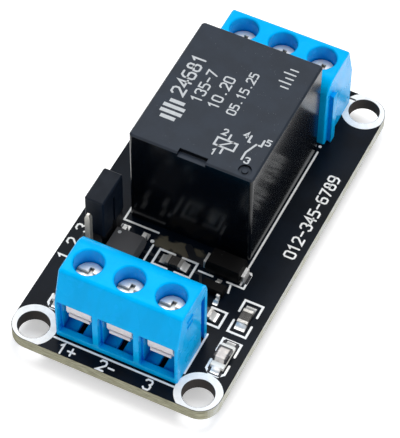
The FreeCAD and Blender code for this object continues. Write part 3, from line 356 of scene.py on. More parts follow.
def dust_group():
    """Specks of dust and rub marks, which lie on the faces that look up."""
    def fill(tree, given, out):
        specks = tree.add("ShaderNodeTexVoronoi", Vector=given["Place"], Scale=given["Scale"])
        dots = tree.ramp(specks.outputs["Distance"], 0.06, 0.12, 1.0, 0.0)
        kept = tree.ramp(tree.noise(given["Place"], 350.0, 2.0), 0.5, 0.6)
        facing = tree.add("ShaderNodeNewGeometry").outputs["Normal"]
        up = tree.ramp(tree.split(facing)[2], 0.3, 0.9)
        tree.feed(out["Mask"], tree.math("MULTIPLY", dots, kept, up))
        tree.feed(out["Up"], up)
    return shared_group("dust", {"Place": None, "Scale": 1800.0}, ("Mask", "Up"), fill)


def once(build):
    """Makes a material only once: a second call finds the first one by its name."""
    def found_or_built(name, *values, **settings):
        return bpy.data.materials.get(name) or build(name, *values, **settings)
    return found_or_built


def emptied_tree(owner):
    """The node tree of a material or a world, with nothing in it."""
    owner.use_nodes = True
    owner.node_tree.nodes.clear()
    return Tree(owner.node_tree)


def start_material(name):
    """A new material with a Principled shader: the material, its tree, the shader and Object coordinates."""
    made = bpy.data.materials.new(name)
    tree = emptied_tree(made)
    shader = tree.add("ShaderNodeBsdfPrincipled")
    output = tree.add("ShaderNodeOutputMaterial", Surface=shader.outputs[0])
    output.is_active_output = True
    place = tree.add("ShaderNodeTexCoord").outputs["Object"]
    return made, tree, shader, place


def bump(tree, shader, height, distance, rounding=0.0):
    """Relief on a shader's normal, over edges that look rounded off by a radius."""
    node = tree.add("ShaderNodeBump", Height=height, Distance=distance)
    if rounding:
        rounded = tree.add("ShaderNodeBevel", {"samples": 6}, Radius=rounding)
        tree.fill(node, Normal=rounded.outputs[0])
    tree.fill(shader, Normal=node.outputs[0])


@once
def plastic(name, tone, roughness=0.4, fine=9000.0, wide=700.0, depth=0.004, shade=0.8, dust=0.0, shine=0.5):
    """Moulded plastic: grain, slight patches of tone and gloss, and a little dust if asked."""
    made, tree, shader, place = start_material(name)
    grain = tree.group(grain_group(), Place=place, Fine=fine, Wide=wide)
    toned = tree.blend(grain["Patches"], rgba(tone), rgba(tone, shade))
    if dust:
        specks = tree.group(dust_group(), Place=place)
        toned = tree.blend(tree.math("MULTIPLY", specks["Mask"], dust), toned, rgba(PALE_DUST))
    gloss = tree.ramp(grain["Height"], 0.4, 1.1, roughness - 0.05, roughness + 0.07)
    tree.fill(shader, Base_Color=toned, Roughness=gloss, Specular_IOR_Level=shine)
    bump(tree, shader, grain["Height"], depth * MM)
    return made


@once
def metal(name, tone, roughness=0.25, stretch=EVEN, lines=5000.0, depth=0.003, tarnish=0.6, metallic=1.0,
          hollow=0.0):
    """Plated or rolled metal: drawn lines, tarnish and uneven gloss, with painted shade in its hollows if
    asked.
    """
    made, tree, shader, place = start_material(name)
    drawn = tree.group(drawn_group(), Place=place, Stretch=stretch, Lines=lines)
    toned = tree.blend(tree.math("MULTIPLY", drawn["Tarnish"], 0.6), rgba(tone), rgba(tone, tarnish))
    # Painted shade: the tone darkened in the hollows that the piece itself makes
    if hollow:
        open_share = tree.ramp(tree.openness(hollow), 0.3, 0.8)
        toned = tree.blend(open_share, rgba(tone, HOLLOW_SHADE), toned)
    gloss = tree.ramp(drawn["Tarnish"], 0.0, 1.0, roughness, roughness + 0.18)
    tree.fill(shader, Base_Color=toned, Metallic=metallic, Roughness=gloss)
    bump(tree, shader, drawn["Height"], depth * MM)
    return made


@once
def laminate_material(name):
    """Lacquer on the two faces, with a painted reflection in front of the relay; glass weave and resin on the
    sawn edge and in the holes, with the sides facing ±x painted paler as light.
    """
    board = looks("board")
    made, tree, shader, place = start_material(name)
    facing = tree.split(tree.add("ShaderNodeNewGeometry").outputs["True Normal"])
    side = tree.ramp(tree.math("ABSOLUTE", facing[2]), 0.3, 0.7, 1.0, 0.0)
    grain = tree.group(grain_group(), Place=place, Fine=2600.0, Wide=230.0)
    mask = tree.blend(grain["Patches"], rgba(board.mask_colour), rgba(board.mask_colour, 1.7))
    weave = tree.noise(tree.stretched(place, (0.25, 0.25, 3.0)), 3500.0, 4.0)
    threads = tree.ramp(weave, *MIDDLE)
    pale = rgba(board.laminate_colour, 1.35)
    sawn = tree.blend(threads, rgba(board.laminate_colour, 0.72), pale)
    half_x, half_y, hole = mount()
    spot = tree.split(place)
    from_x, from_y = (tree.math("SUBTRACT", tree.math("ABSOLUTE", spot[axis]), half)
                      for axis, half in ((0, half_x), (1, half_y)))
    squares = tree.math("ADD", tree.math("MULTIPLY", from_x, from_x), tree.math("MULTIPLY", from_y, from_y))
    bored = tree.ramp(tree.math("SQRT", squares), hole + 0.05 * MM, hole + 0.12 * MM, 1.0, 0.0)
    # Painted light: the sides facing ±x get the paler colour
    along = tree.ramp(tree.math("ABSOLUTE", facing[0]), 0.6, 0.95)
    sidelit = tree.blend(along, sawn, tree.blend(threads, rgba(board.sidelit_colour), pale))
    walls = tree.blend(bored, sidelit, rgba(board.bore_colour))
    # Painted reflection: the patch in front of the relay, on the faces that look up
    reflection_patch = tree.math("MULTIPLY", reflection_patch_mask(tree, place, spot), tree.ramp(facing[2], 0.3, 0.7))
    faces = tree.blend(reflection_patch, mask, rgba(board.reflection_patch_colour))
    gloss = tree.ramp(side, 0.0, 1.0, 0.28, 0.75)
    tree.fill(shader, Base_Color=tree.blend(side, faces, walls), Roughness=gloss, Specular_IOR_Level=0.06)
    height = tree.math("ADD", tree.math("MULTIPLY", weave, side), grain["Height"])
    bump(tree, shader, height, 0.006 * MM)
    return made


def reflection_patch_mask(tree, place, spot):
    """A painted reflection: a thin patch of brownish light on the lacquer in front of the relay, with ragged
    edges.
    """
    wander = tree.math("SUBTRACT", tree.noise(place, 900.0, 3.0), 0.5)
    sway = tree.math("MULTIPLY", wander, 2.2 * MM)
    across, along = (tree.math("ADD", spot[axis], sway) for axis in (0, 1))
    middle_x = -0.3 * MM
    middle_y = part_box("relay_cover")[0].y - 1.75 * MM
    half_x = 3.1 * MM
    strength = 0.9
    in_x = tree.ramp(tree.away(across, middle_x), half_x - 0.5 * MM, half_x + 0.3 * MM, 1.0, 0.0)
    in_y = tree.ramp(tree.away(along, middle_y), 0.5 * MM, 1.0 * MM, 1.0, 0.0)
    return tree.math("MULTIPLY", in_x, in_y, strength)


@once
def ink_material(name, tone):
    """Screen-printed ink: slightly uneven cover and a matt face."""
    made, tree, shader, place = start_material(name)
    grain = tree.group(grain_group(), Place=place, Fine=6000.0, Wide=1500.0)
    tree.fill(shader, Base_Color=tree.blend(grain["Patches"], rgba(tone), rgba(tone, 0.93)), Roughness=0.55)
    bump(tree, shader, grain["Height"], 0.004 * MM)
    return made


@once
def housing_material(name):
    """Glossy blue plastic with fine flow marks, and painted shade, a deeper blue, inside the mouths and
    wells, eased near the ends.
    """
    given = looks("terminal")
    made, tree, shader, place = start_material(name)
    grain = tree.group(grain_group(), Place=place, Fine=5200.0, Wide=260.0)
    streaks = tree.noise(tree.stretched(place, (1.0, 1.0, 0.15)), 700.0, 3.0)
    flow = tree.ramp(streaks, 0.35, 0.7)
    tone = tree.blend(flow, rgba(given.plastic_colour), rgba(given.plastic_colour, 0.93))
    # Painted shade: the deep blue where the piece itself stands close over a point
    unshaded = tree.ramp(tree.openness(2.4 * MM), 0.3, 0.88)
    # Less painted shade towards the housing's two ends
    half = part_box("input_terminal_housing")[1].x
    from_middle = tree.math("ABSOLUTE", tree.split(place)[0])
    end_shade_relief = tree.ramp(from_middle, half - 0.9 * MM, half - 0.5 * MM, 0.0, 0.7)
    open_share = tree.math("MAXIMUM", unshaded, end_shade_relief)
    tree.fill(shader, Base_Color=tree.blend(open_share, rgba(given.recess_shade_colour), tone),
              Roughness=tree.ramp(grain["Patches"], 0.0, 1.0, 0.2, 0.3),
              Specular_Tint=rgba(given.shine_colour), Specular_IOR_Level=0.35)
    bump(tree, shader, grain["Height"], 0.004 * MM, 0.16 * MM)
    return made


@once
def cover_material(name):
    """The relay's cover: fine spark texture on the top, smoother sides painted darker as shade."""
    tone = looks("relay").cover_colour
    made, tree, shader, place = start_material(name)
    specks = tree.group(dust_group(), Place=place, Scale=2600.0)
    grain = tree.group(grain_group(), Place=place, Fine=11000.0, Wide=420.0)
    top = tree.blend(grain["Patches"], rgba(tone), rgba(tone, 1.25))
    # Painted shade: the sides darkened to a small share of the top's tone
    toned = tree.blend(specks["Up"], rgba(tone, 0.12), top)
    dusted = tree.blend(tree.math("MULTIPLY", specks["Mask"], 0.35), toned, rgba(COVER_DUST))
    gloss = tree.ramp(specks["Up"], 0.0, 1.0, 0.16, 0.5)
    tree.fill(shader, Base_Color=dusted, Roughness=gloss, Specular_IOR_Level=0.26)
    bump(tree, shader, tree.math("MULTIPLY", grain["Height"], specks["Up"]), 0.006 * MM, 0.15 * MM)
    return made


@once
def resin_material(name, tone, rim, places, half, rear, roughness=0.2):
    """Clear casting resin: milky with phosphor along its middle, dark where only the clear rim shows."""
    made, tree, shader, place = start_material(name)
    grain = tree.group(grain_group(), Place=place, Fine=7000.0, Wide=1800.0)
    milky = tree.blend(grain["Patches"], rgba(tone), rgba(tone, 0.8))
    spot = tree.split(place)
    first, second = (tree.away(spot[0], x) for x in places)
    ragged = tree.math("MULTIPLY", tree.math("SUBTRACT", grain["Height"], 0.75), 0.25 * MM)
    across = tree.math("ADD", tree.math("MINIMUM", first, second), ragged)
    beside = tree.ramp(across, half - 0.06 * MM, half + 0.1 * MM)
    behind = tree.ramp(spot[1], rear - 0.1 * MM, rear + 0.15 * MM)
    tree.fill(shader, Base_Color=tree.blend(tree.math("MAXIMUM", beside, behind), milky, rgba(rim)),
              Roughness=roughness, Specular_IOR_Level=0.12, Coat_Weight=0.1, Coat_Roughness=0.12)
    bump(tree, shader, grain["Height"], 0.003 * MM)
    return made


def paint(piece, made):
    """Puts one material on every slot of a piece."""
    piece.data.materials.clear()
    piece.data.materials.append(made)


# Geometry Nodes


def geometry_tree(name, inputs):
    """A Geometry Nodes group with its inputs, and a tree to fill where the group is new."""
    group = bpy.data.node_groups.get(name)
    if group:
        return group, None
    group = bpy.data.node_groups.new(name, "GeometryNodeTree")
    group.interface.new_socket("Geometry", in_out="INPUT", socket_type="NodeSocketGeometry")
    for label, kind in inputs.items():
        group.interface.new_socket(label, in_out="INPUT", socket_type="NodeSocket" + kind)
    group.interface.new_socket("Geometry", in_out="OUTPUT", socket_type="NodeSocketGeometry")
    return group, Tree(group)


def crisp_tree():
    """Joins a frame mesh's loose triangles and shades it smooth, but for its sharp edges."""
    group, tree = geometry_tree("crisp_edges", {"Sharp angle": "Float"})
    if tree is None:
        return group
    given = tree.add("NodeGroupInput").outputs
    out = tree.add("NodeGroupOutput").inputs
    joined = tree.add("GeometryNodeMergeByDistance", Geometry=given["Geometry"], Distance=0.0002 * MM)
    smooth = tree.add("GeometryNodeSetShadeSmooth", {"domain": "FACE"}, Geometry=joined.outputs[0],
                      Shade_Smooth=True)
    angle = tree.add("GeometryNodeInputMeshEdgeAngle")
    sharp = tree.math("GREATER_THAN", angle.outputs[0], given["Sharp angle"])
    crisp_edges = tree.add("GeometryNodeSetShadeSmooth", {"domain": "EDGE"}, Geometry=smooth.outputs[0],
                           Selection=sharp, Shade_Smooth=False)
    tree.feed(out["Geometry"], crisp_edges.outputs[0])
    return group


def live_nodes(piece, label, group, **inputs):
    """A Geometry Nodes modifier on a piece, with its inputs set by name, written with _ for a space."""
    modifier = piece.modifiers.new(label, "NODES")
    modifier.node_group = group
    identifiers = {item.name: item.identifier for item in group.interface.items_tree
                   if item.item_type == "SOCKET" and item.in_out == "INPUT"}
    for key, value in inputs.items():
        modifier[identifiers[key.replace("_", " ")]] = value


def dress(node, made, sharp_degrees=32.0):
    """A frame node that keeps its own mesh and gets its finish and, as a live modifier, crisp shading."""
    piece = frame["nodes"][node]
    paint(piece, made)
    live_nodes(piece, "Crisp edges", crisp_tree(), Sharp_angle=math.radians(sharp_degrees))


# Meshes


def add_object(name, data):
    made = bpy.data.objects.new(name, data)
    bpy.context.scene.collection.objects.link(made)
    return made


def new_piece(name, mesh_data, made, body=MODULE):
    piece = add_object(name, mesh_data)
    paint(piece, made)
    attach(piece, body)
    return piece


def baked(piece):
    """A bmesh of what a helper object's modifiers make, after which the helper is gone."""
    depsgraph = bpy.context.evaluated_depsgraph_get()
    made = bpy.data.meshes.new_from_object(piece.evaluated_get(depsgraph))
    bpy.data.objects.remove(piece)
    bm = bmesh.new()
    bm.from_mesh(made)
    bpy.data.meshes.remove(made)
    return bm


def finish_mesh(name, bm, smooth_degrees=None):
    """The mesh of a bmesh, with its normals outward and, if asked, smooth but for its sharp edges."""
    bmesh.ops.remove_doubles(bm, verts=bm.verts, dist=1e-8)
    bmesh.ops.recalc_face_normals(bm, faces=bm.faces)
    if smooth_degrees is not None:
        limit = math.radians(smooth_degrees)
        for face in bm.faces:
            face.smooth = True
        for edge in bm.edges:
            edge.smooth = len(edge.link_faces) == 2 and edge.calc_face_angle(0.0) < limit
    made = bpy.data.meshes.new(name)
    bm.to_mesh(made)
    bm.free()
    return made


def skin(bm, rings, joined=False):
    """A closed skin over rings of points: capped at its two ends, or joined round into one ring."""
    loops = [[bm.verts.new(point) for point in ring] for ring in rings]
    if not joined:
        bm.faces.new(list(reversed(loops[0])))
        bm.faces.new(loops[-1])
    for lower, upper in zip(loops, loops[1:] + loops[:1] if joined else loops[1:]):
        for i in range(len(lower)):
            j = (i + 1) % len(lower)
            bm.faces.new((lower[i], lower[j], upper[j], upper[i]))


def at_height(outline, z):
    return [(x, y, z) for x, y in outline]


def slab(bm, outline, z0, z1):
    """A closed plate from a counterclockwise outline of (x, y)."""
    skin(bm, [at_height(outline, z0), at_height(outline, z1)])


def band(bm, inner, outer, z0, z1):
    """A closed ring plate between two outlines with the same number of points."""
    corners = ((inner, z0), (outer, z0), (outer, z1), (inner, z1))
    skin(bm, [at_height(outline, z) for outline, z in corners], joined=True)


def offset_points(points, distance, closed):
    """Points moved to one side by a distance, with mitred corners."""
    moved = []
    count = len(points)
    for i in range(count):
        here = Vector(points[i])
        ways = []
        if closed or i > 0:
            ways.append((here - Vector(points[i - 1])).normalized())
        if closed or i < count - 1:
            ways.append((Vector(points[(i + 1) % count]) - here).normalized())
        normals = [Vector((-w.y, w.x)) for w in ways]
        middle = sum(normals, Vector((0.0, 0.0))).normalized()
        stretch = 1.0 / max(SHARPEST_MITRE, middle.dot(normals[0]))
        moved.append(here + middle * (distance * stretch))
    return moved


def round_end(end, before, radius):
    """Points of the half circle round a stroke's end."""
    heading = math.atan2(end[1] - before[1], end[0] - before[0])
    angles = (heading - math.pi / 2 + math.pi * step / CAP_STEPS for step in range(1, CAP_STEPS))
    return [(end[0] + radius * math.cos(a), end[1] + radius * math.sin(a)) for a in angles]


def ring_points(x, y, radii):
    """Points (x, y) round a place, one for each radius."""
    angles = (2 * math.pi * i / len(radii) for i in range(len(radii)))
    return [(x + radius * math.cos(a), y + radius * math.sin(a)) for radius, a in zip(radii, angles)]


def circle_points(x, y, radius, count):
    return ring_points(x, y, [radius] * count)


# Plain numbers and signs, drawn with a pen in a cell 0.6 wide and 1 high

GLYPHS = {
    "0": [[(0.12, 0.0), (0.48, 0.0), (0.6, 0.14), (0.6, 0.86), (0.48, 1.0), (0.12, 1.0), (0.0, 0.86),
           (0.0, 0.14), (0.12, 0.0)]],
    "1": [[(0.1, 0.8), (0.32, 1.0), (0.32, 0.0)]],
    "2": [[(0.0, 0.84), (0.12, 1.0), (0.48, 1.0), (0.6, 0.84), (0.6, 0.6), (0.0, 0.0), (0.6, 0.0)]],
    "3": [[(0.0, 0.86), (0.12, 1.0), (0.48, 1.0), (0.6, 0.86), (0.6, 0.64), (0.46, 0.52), (0.6, 0.4),
           (0.6, 0.14), (0.48, 0.0), (0.12, 0.0), (0.0, 0.14)]],
    "4": [[(0.46, 0.0), (0.46, 1.0), (0.0, 0.32), (0.62, 0.32)]],
    "5": [[(0.58, 1.0), (0.04, 1.0), (0.04, 0.58), (0.46, 0.58), (0.6, 0.44), (0.6, 0.14), (0.46, 0.0),
           (0.0, 0.0)]],
    "6": [[(0.54, 1.0), (0.16, 1.0), (0.0, 0.8), (0.0, 0.14), (0.12, 0.0), (0.48, 0.0), (0.6, 0.14),
           (0.6, 0.42), (0.48, 0.54), (0.02, 0.54)]],
    "7": [[(0.0, 1.0), (0.6, 1.0), (0.2, 0.0)]],
    "8": [[(0.12, 0.0), (0.48, 0.0), (0.6, 0.14), (0.6, 0.4), (0.1, 0.62), (0.1, 0.88), (0.2, 1.0),
           (0.4, 1.0), (0.52, 0.88), (0.52, 0.62), (0.0, 0.4), (0.0, 0.14), (0.12, 0.0)]],
    "9": [[(0.06, 0.0), (0.44, 0.0), (0.6, 0.2), (0.6, 0.86), (0.48, 1.0), (0.12, 1.0), (0.0, 0.86),
           (0.0, 0.58), (0.12, 0.46), (0.58, 0.46)]],
    "+": [[(0.02, 0.5), (0.68, 0.5)], [(0.35, 0.14), (0.35, 0.36)], [(0.35, 0.64), (0.35, 0.86)]],
    "-": [[(0.05, 0.5), (0.55, 0.5)]],
    ".": [[(0.26, 0.04), (0.34, 0.04)]],
}
GLYPH_WIDTH = 0.6
GLYPH_STEP = 0.86


class Pen:
    """A pen on a level surface: it draws into a bmesh, from one height to another."""

    def __init__(self, bm, width, z0, z1):
        self.bm = bm
        self.width = width
        self.heights = (z0, z1)

    def of_width(self, width):
        return Pen(self.bm, width, *self.heights)

    def line(self, *points, closed=False):
        """A stroke along points (x, y) as a thin closed plate, with round ends."""
        left = offset_points(points, self.width / 2, closed)
        right = offset_points(points, -self.width / 2, closed)
        if closed:
            band(self.bm, left, right, *self.heights)
            return
        last = round_end(points[-1], points[-2], self.width / 2)
        first = round_end(points[0], points[1], self.width / 2)
        self.plate(right + last + left[::-1] + first)

    def plate(self, outline):
        slab(self.bm, outline, *self.heights)

    def dot(self, x, y, radius):
        self.plate(circle_points(x, y, radius, 16))

    def write(self, text, origin, height, turn=0.0):
        """Numbers from an origin at their lower left, turned by some degrees. A space is an empty cell."""
        turned = Matrix.Rotation(math.radians(turn), 2)
        for index, sign in enumerate(text):
            for line in GLYPHS.get(sign, []):
                cells = (Vector(((u + index * GLYPH_STEP) * height, v * height)) for u, v in line)
                points = [Vector(origin) + turned @ cell for cell in cells]
                closed = line[0] == line[-1]
                self.line(*(points[:-1] if closed else points), closed=closed)


def text_width(text, height):
    return ((len(text) - 1) * GLYPH_STEP + GLYPH_WIDTH) * height


# Print on the board


def ring_outlines(x, y, inner, reach, low, high):
    """The ring round a hole, cut off where the board ends."""
    outside = []
    for px, py in circle_points(x, y, reach, RING_POINTS):
        way = Vector((px - x, py - y)).normalized()
        distance = reach
        while distance > inner and not on_board(x + way.x * distance, y + way.y * distance, low, high):
            distance -= RING_TRIM
        outside.append((x + way.x * distance, y + way.y * distance))
    return circle_points(x, y, inner, RING_POINTS), outside


def on_board(x, y, low, high):
    """Whether a point lies on the board's rounded rectangle, a hair inside its edge."""
    from_side = min(x - low.x, high.x - x) - EDGE_HAIR
    from_end = min(y - low.y, high.y - y) - EDGE_HAIR
    if from_side < 0 or from_end < 0:
        return False
    if from_side < CORNER_RADIUS and from_end < CORNER_RADIUS:
        return math.hypot(CORNER_RADIUS - from_side, CORNER_RADIUS - from_end) <= CORNER_RADIUS
    return True


def bracket(pen, middle, half_x, half_y, gap, along_x, cut=0.0):
    """Two facing brackets round a part, open at the middle of the long sides."""
    for side in (-1, 1):
        if along_x:
            points = [(gap, half_y), (half_x, half_y), (half_x, -half_y), (gap, -half_y)]
            points = [(side * u, v) for u, v in points]
        else:
            ends = [(half_x, gap), (half_x, half_y), (-half_x, half_y), (-half_x, gap)]
            if cut and side < 0:
                ends = [(half_x, gap), (half_x, half_y - cut), (half_x - cut, half_y),
                        (cut - half_x, half_y), (-half_x, half_y - cut), (-half_x, gap)]
            points = [(u, side * v) for u, v in ends]
        pen.line(*((middle.x + u, middle.y + v) for u, v in points))


def board_print():
    """The white print on the board's top: rings, part outlines, frame lines and plain numbers."""
    given = looks("board")
    z0 = board_top() + given.trace_height * 0.2
    z1 = z0 + given.ink_height + given.trace_height
    bm = bmesh.new()
    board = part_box("circuit_board")
    half_x, half_y, hole = mount()
    for x, y in ((-half_x, -half_y), (-half_x, half_y), (half_x, -half_y), (half_x, half_y)):
        inner, outer = ring_outlines(x, y, hole + 0.06 * MM, given.ring_reach, *board)
        band(bm, inner, outer, z0, z1)
    fine = Pen(bm, given.ink_fine_stroke, z0, z1)
    part_brackets(Pen(bm, given.ink_stroke, z0, z1))
    part_outlines(fine)
    frame_lines(fine)
    numbers(Pen(bm, NUMBER_PEN, z0, z1), given.number_height)
    return finish_mesh("board_print", bm)


def part_brackets(pen):
    """Brackets round the chips and the lamps."""
    for node, along_x in (("resistor_1", True), ("resistor_2", False), ("resistor_3", True)):
        half_x, half_y = (2.4 * MM, 1.12 * MM) if along_x else (1.12 * MM, 2.36 * MM)
        gap = 0.5 * MM if along_x else 0.7 * MM
        bracket(pen, centre(node + "_ends"), half_x, half_y, gap, along_x)
    for lamp in LAMPS:
        bracket(pen, centre(lamp + "_base"), 1.12 * MM, 2.48 * MM, 0.68 * MM, False, cut=0.55 * MM)


def part_outlines(pen):
    """Lines and dots beside the diode, the optocoupler and the transistor."""
    low, high = box("diode_body", "diode_leads")
    front = low.y - 0.1 * MM
    right = high.x + 0.25 * MM
    hook = high.y - 0.3 * MM
    pen.line((low.x - 0.25 * MM, front), (low.x + 1.5 * MM, front))
    pen.line((high.x - 1.85 * MM, front), (right, front), (right, high.y - 0.55 * MM),
             (high.x + 0.12 * MM, hook), (high.x - 0.12 * MM, hook))
    pen.line((right, low.y + 0.9 * MM), (high.x - 0.3 * MM, low.y + 0.75 * MM),
             (high.x - 0.3 * MM, low.y + 0.25 * MM))
    low, high = box("optocoupler_body")
    edge = high.x + 0.45 * MM
    pen.line((edge, high.y + 0.7 * MM), (edge, low.y + 2.5 * MM))
    pen.line((low.x - 0.25 * MM, low.y - 0.45 * MM), (edge, low.y - 0.45 * MM))
    pen.dot(high.x + 0.1 * MM, high.y + 1.15 * MM, 0.24 * MM)
    pen.dot(low.x - 0.2 * MM, high.y + 1.7 * MM, 0.24 * MM)
    high = box("transistor_leads")[1]
    pen.line((high.x + 0.25 * MM, high.y + 0.3 * MM), (high.x + 0.45 * MM, high.y - 0.75 * MM))


def frame_lines(pen):
    """The relay's and the terminals' outlines on the board."""
    low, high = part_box("relay_cover")
    left = low.x - 0.38 * MM
    right = high.x + 0.25 * MM
    front = low.y - 0.75 * MM
    pen.line((left + 4.5 * MM, front), (left, front), (left, high.y - 0.3 * MM))
    pen.line((right, front + 0.2 * MM), (right, high.y - 0.5 * MM))
    pen.dot(right - 0.1 * MM, high.y + 0.42 * MM, 0.2 * MM)
    beside = 0.45 * MM
    low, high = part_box("input_terminal_housing")
    right = centre("input_terminal_screw_2").x + 7.7 * MM
    pen.line((low.x + 0.6 * MM, low.y - beside), (right - 0.25 * MM, low.y - beside))
    pen.line((right, high.y - 0.05 * MM), (right, low.y + 1.7 * MM))
    low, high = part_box("output_terminal_housing")
    pen.line((low.x, high.y + beside), (high.x, high.y + beside))


def numbers(pen, height):
    """Plain numbers where the real board has its words."""
    low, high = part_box("circuit_board")
    tall = height * 0.9
    for index, text in zip(POLES, ("1+", "2-", "3")):
        x = centre("input_terminal_screw_%d" % index).x - text_width(text, height) / 2
        pen.write(text, (x - 0.3 * MM, low.y + 0.17 * MM), tall)
    pen.write("012-345-6789", (high.x - 0.95 * MM, -1.3 * MM), tall, turn=90)
    pen.write("1 2 3", (low.x + 1.75 * MM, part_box("header_base")[0].y - 0.6 * MM), tall, turn=90)
    small = pen.of_width(0.18 * MM)
    for index, text in zip(POLES, ("6", "5", "4")):
        x = centre("output_terminal_screw_%d" % index).x
        small.write(text, (x - 0.4 * MM, high.y - 1.05 * MM), 0.8 * MM)


# Print on the relay


def relay_print():
    """A plain generic marking for the cover: bars, rows of numbers, a pin drawing and ticks."""
    low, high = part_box("relay_cover")
    bm = bmesh.new()
    pen = Pen(bm, looks("relay").print_stroke, high.z - 0.004 * MM, high.z + 0.003 * MM)
    left = low.x + 1.3 * MM
    front = low.y + 1.7 * MM
    bar_length, bar_width, bar_step = 3.1 * MM, 0.5 * MM, 0.82 * MM
    for row in range(4):
        y = front + 2.2 * MM + row * bar_step
        inset = 0.42 * MM * abs(row - 1.5)
        near, far = left + inset, left + bar_length - inset
        pen.plate([(near, y), (far, y), (far, y + bar_width), (near, y + bar_width)])
    rows = (("24681", 1.55, 0.25), ("135-7", 1.2, 0.2), ("10.20", 1.2, 0.2), ("05.15.25", 1.0, 0.18))
    row_step = 2.15 * MM
    for index, (text, size, width) in enumerate(rows):
        x = left + 1.7 * MM + index * row_step
        pen.of_width(width * MM).write(text, (x, front + 6.0 * MM), size * MM, turn=90)
    pin_drawing(pen, low.x + 9.2 * MM, low.y + 3.0 * MM)
    tick = pen.of_width(0.2 * MM)
    x = high.x - 2.2 * MM
    for index in range(5):
        y = high.y - 2.2 * MM - index * 0.7 * MM
        tick_length = (1.4 if index % 2 else 0.9) * MM
        tick.line((x - tick_length, y), (x, y))
    return finish_mesh("relay_print", bm)


def pin_drawing(pen, x, y):
    """The usual sign of a coil and a changeover contact, with its pins numbered, drawn from a corner."""
    def at(u, v):
        return (x + u * MM, y + v * MM)

    pen.line(at(0, 0), at(2.4, 0), at(2.4, 1.1), at(0, 1.1), closed=True)
    pen.of_width(pen.width * 0.8).line(at(0.5, 0), at(1.9, 1.1))
    for points in (((1.2, 1.25), (1.2, 2.0)), ((1.2, -0.15), (1.2, -0.9)),
                   ((3.7, -0.6), (3.7, 0.5), (4.3, 2.0)), ((3.3, 2.9), (3.3, 2.0), (3.5, 2.0)),
                   ((4.9, 2.9), (4.9, 2.0), (4.6, 2.0))):
        pen.line(*(at(u, v) for u, v in points))
    small = pen.of_width(pen.width * 0.75)
    for text, u, v in (("1", 0.2, -1.4), ("2", 0.2, 1.7), ("3", 4.1, -0.9), ("4", 2.5, 2.4), ("5", 5.2, 2.4)):
        small.write(text, at(u, v), 0.8 * MM)


# Copper under the lacquer


def board_traces():
    """Copper runs on both faces, from pad to pad."""
    height = looks("board").trace_height
    bm = bmesh.new()
    top_runs(Pen(bm, 0.35 * MM, board_top() - COPPER_ROOT, board_top() + height))
    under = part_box("circuit_board")[0].z
    under_runs(Pen(bm, 2.6 * MM, under - height, under + COPPER_ROOT))
    return finish_mesh("board_traces", bm)


def top_runs(pen):
    """Runs between the small parts."""
    resistor = centre("resistor_1_ends")
    opto = centre("optocoupler_leads")
    diode = centre("diode_body")
    transistor = centre("transistor_body")
    pen.line((resistor.x - 1.6 * MM, resistor.y), (opto.x + 1.27 * MM, resistor.y),
             (opto.x + 1.27 * MM, opto.y + 2.6 * MM))
    pen.line((resistor.x + 1.6 * MM, resistor.y), (transistor.x - 2.4 * MM, resistor.y),
             (transistor.x - 0.95 * MM, transistor.y - 1.5 * MM))
    pen.of_width(0.9 * MM).line((diode.x - 2.6 * MM, diode.y), (diode.x - 4.2 * MM, diode.y),
                                (diode.x - 5.4 * MM, diode.y + 1.2 * MM))
    pen.of_width(0.4 * MM).line((transistor.x, transistor.y + 1.3 * MM), (transistor.x, diode.y - 0.9 * MM))


def under_runs(pen):
    """Wide runs from the relay to the output terminal, narrow ones from the input terminal to the header."""
    relay_pins = ("relay_open_contact", "relay_common_pin", "relay_closed_contact")
    for index, node in zip(POLES, relay_pins):
        contact = "output_terminal_contact_%d" % index
        x = centre(contact).x
        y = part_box(contact)[0].y
        pin = centre(node)
        if node == "relay_common_pin":
            pen.line((x, y), (x, y - 6.0 * MM), (pin.x, pin.y + 0.4 * MM))
        else:
            pen.line((x, y), (x, y - 1.2 * MM), (math.copysign(6.0 * MM, pin.x), y - 2.2 * MM))
    narrow = pen.of_width(0.6 * MM)
    pins = sorted((centre("header_pin_%d" % index) for index in POLES), key=lambda pin: pin.y)
    for index, pin in zip(POLES, pins):
        contact = "input_terminal_contact_%d" % index
        x = centre(contact).x
        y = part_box(contact)[1].y
        narrow.line((x, y + 0.2 * MM), (x, y + 0.9 * MM + index * 0.9 * MM),
                    (pin.x + 2.0 * MM, pin.y), (pin.x + 0.6 * MM, pin.y))


# Solder


def lathe(bm, x, y, profile, count=24, wobble=0.0):
    """A closed turned shape about a vertical line, from (radius, z) points bottom to top.

    A wobble gives it three soft lobes, turned by where it stands, so that no two shapes look alike.
    """
    turn = 900 * x + 400 * y
    lobes = [1 + wobble * math.sin(6 * math.pi * i / count + turn) for i in range(count)]
    skin(bm, [at_height(ring_points(x, y, [radius * lobe for lobe in lobes]), z) for radius, z in profile])


def tail_places():
    """Where each pin comes through the board, with half its width."""
    places = []
    for terminal, side, inward in (("input_terminal", 1, -0.3 * MM), ("output_terminal", 0, 0.3 * MM)):
        for index in POLES:
            contact = "%s_contact_%d" % (terminal, index)
            places.append((centre(contact).x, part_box(contact)[side].y + inward, TAIL_HALF))
    for index in POLES:
        middle = centre("header_pin_%d" % index)
        places.append((middle.x, middle.y, PIN_HALF))
    low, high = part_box("relay_coil_pins")
    for x in (low.x + 0.5 * MM, high.x - 0.5 * MM):
        places.append((x, (low.y + high.y) / 2, TAIL_HALF))
    common = centre("relay_common_pin")
    places.append((common.x, common.y, TAIL_HALF))
    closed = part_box("relay_closed_contact")
    places.append((closed[0].x + 0.7 * MM, closed[1].y - 0.2 * MM, TAIL_HALF))
    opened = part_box("relay_open_contact")[1]
    places.append((opened.x - 0.7 * MM, opened.y - 0.2 * MM, TAIL_HALF))
    return places


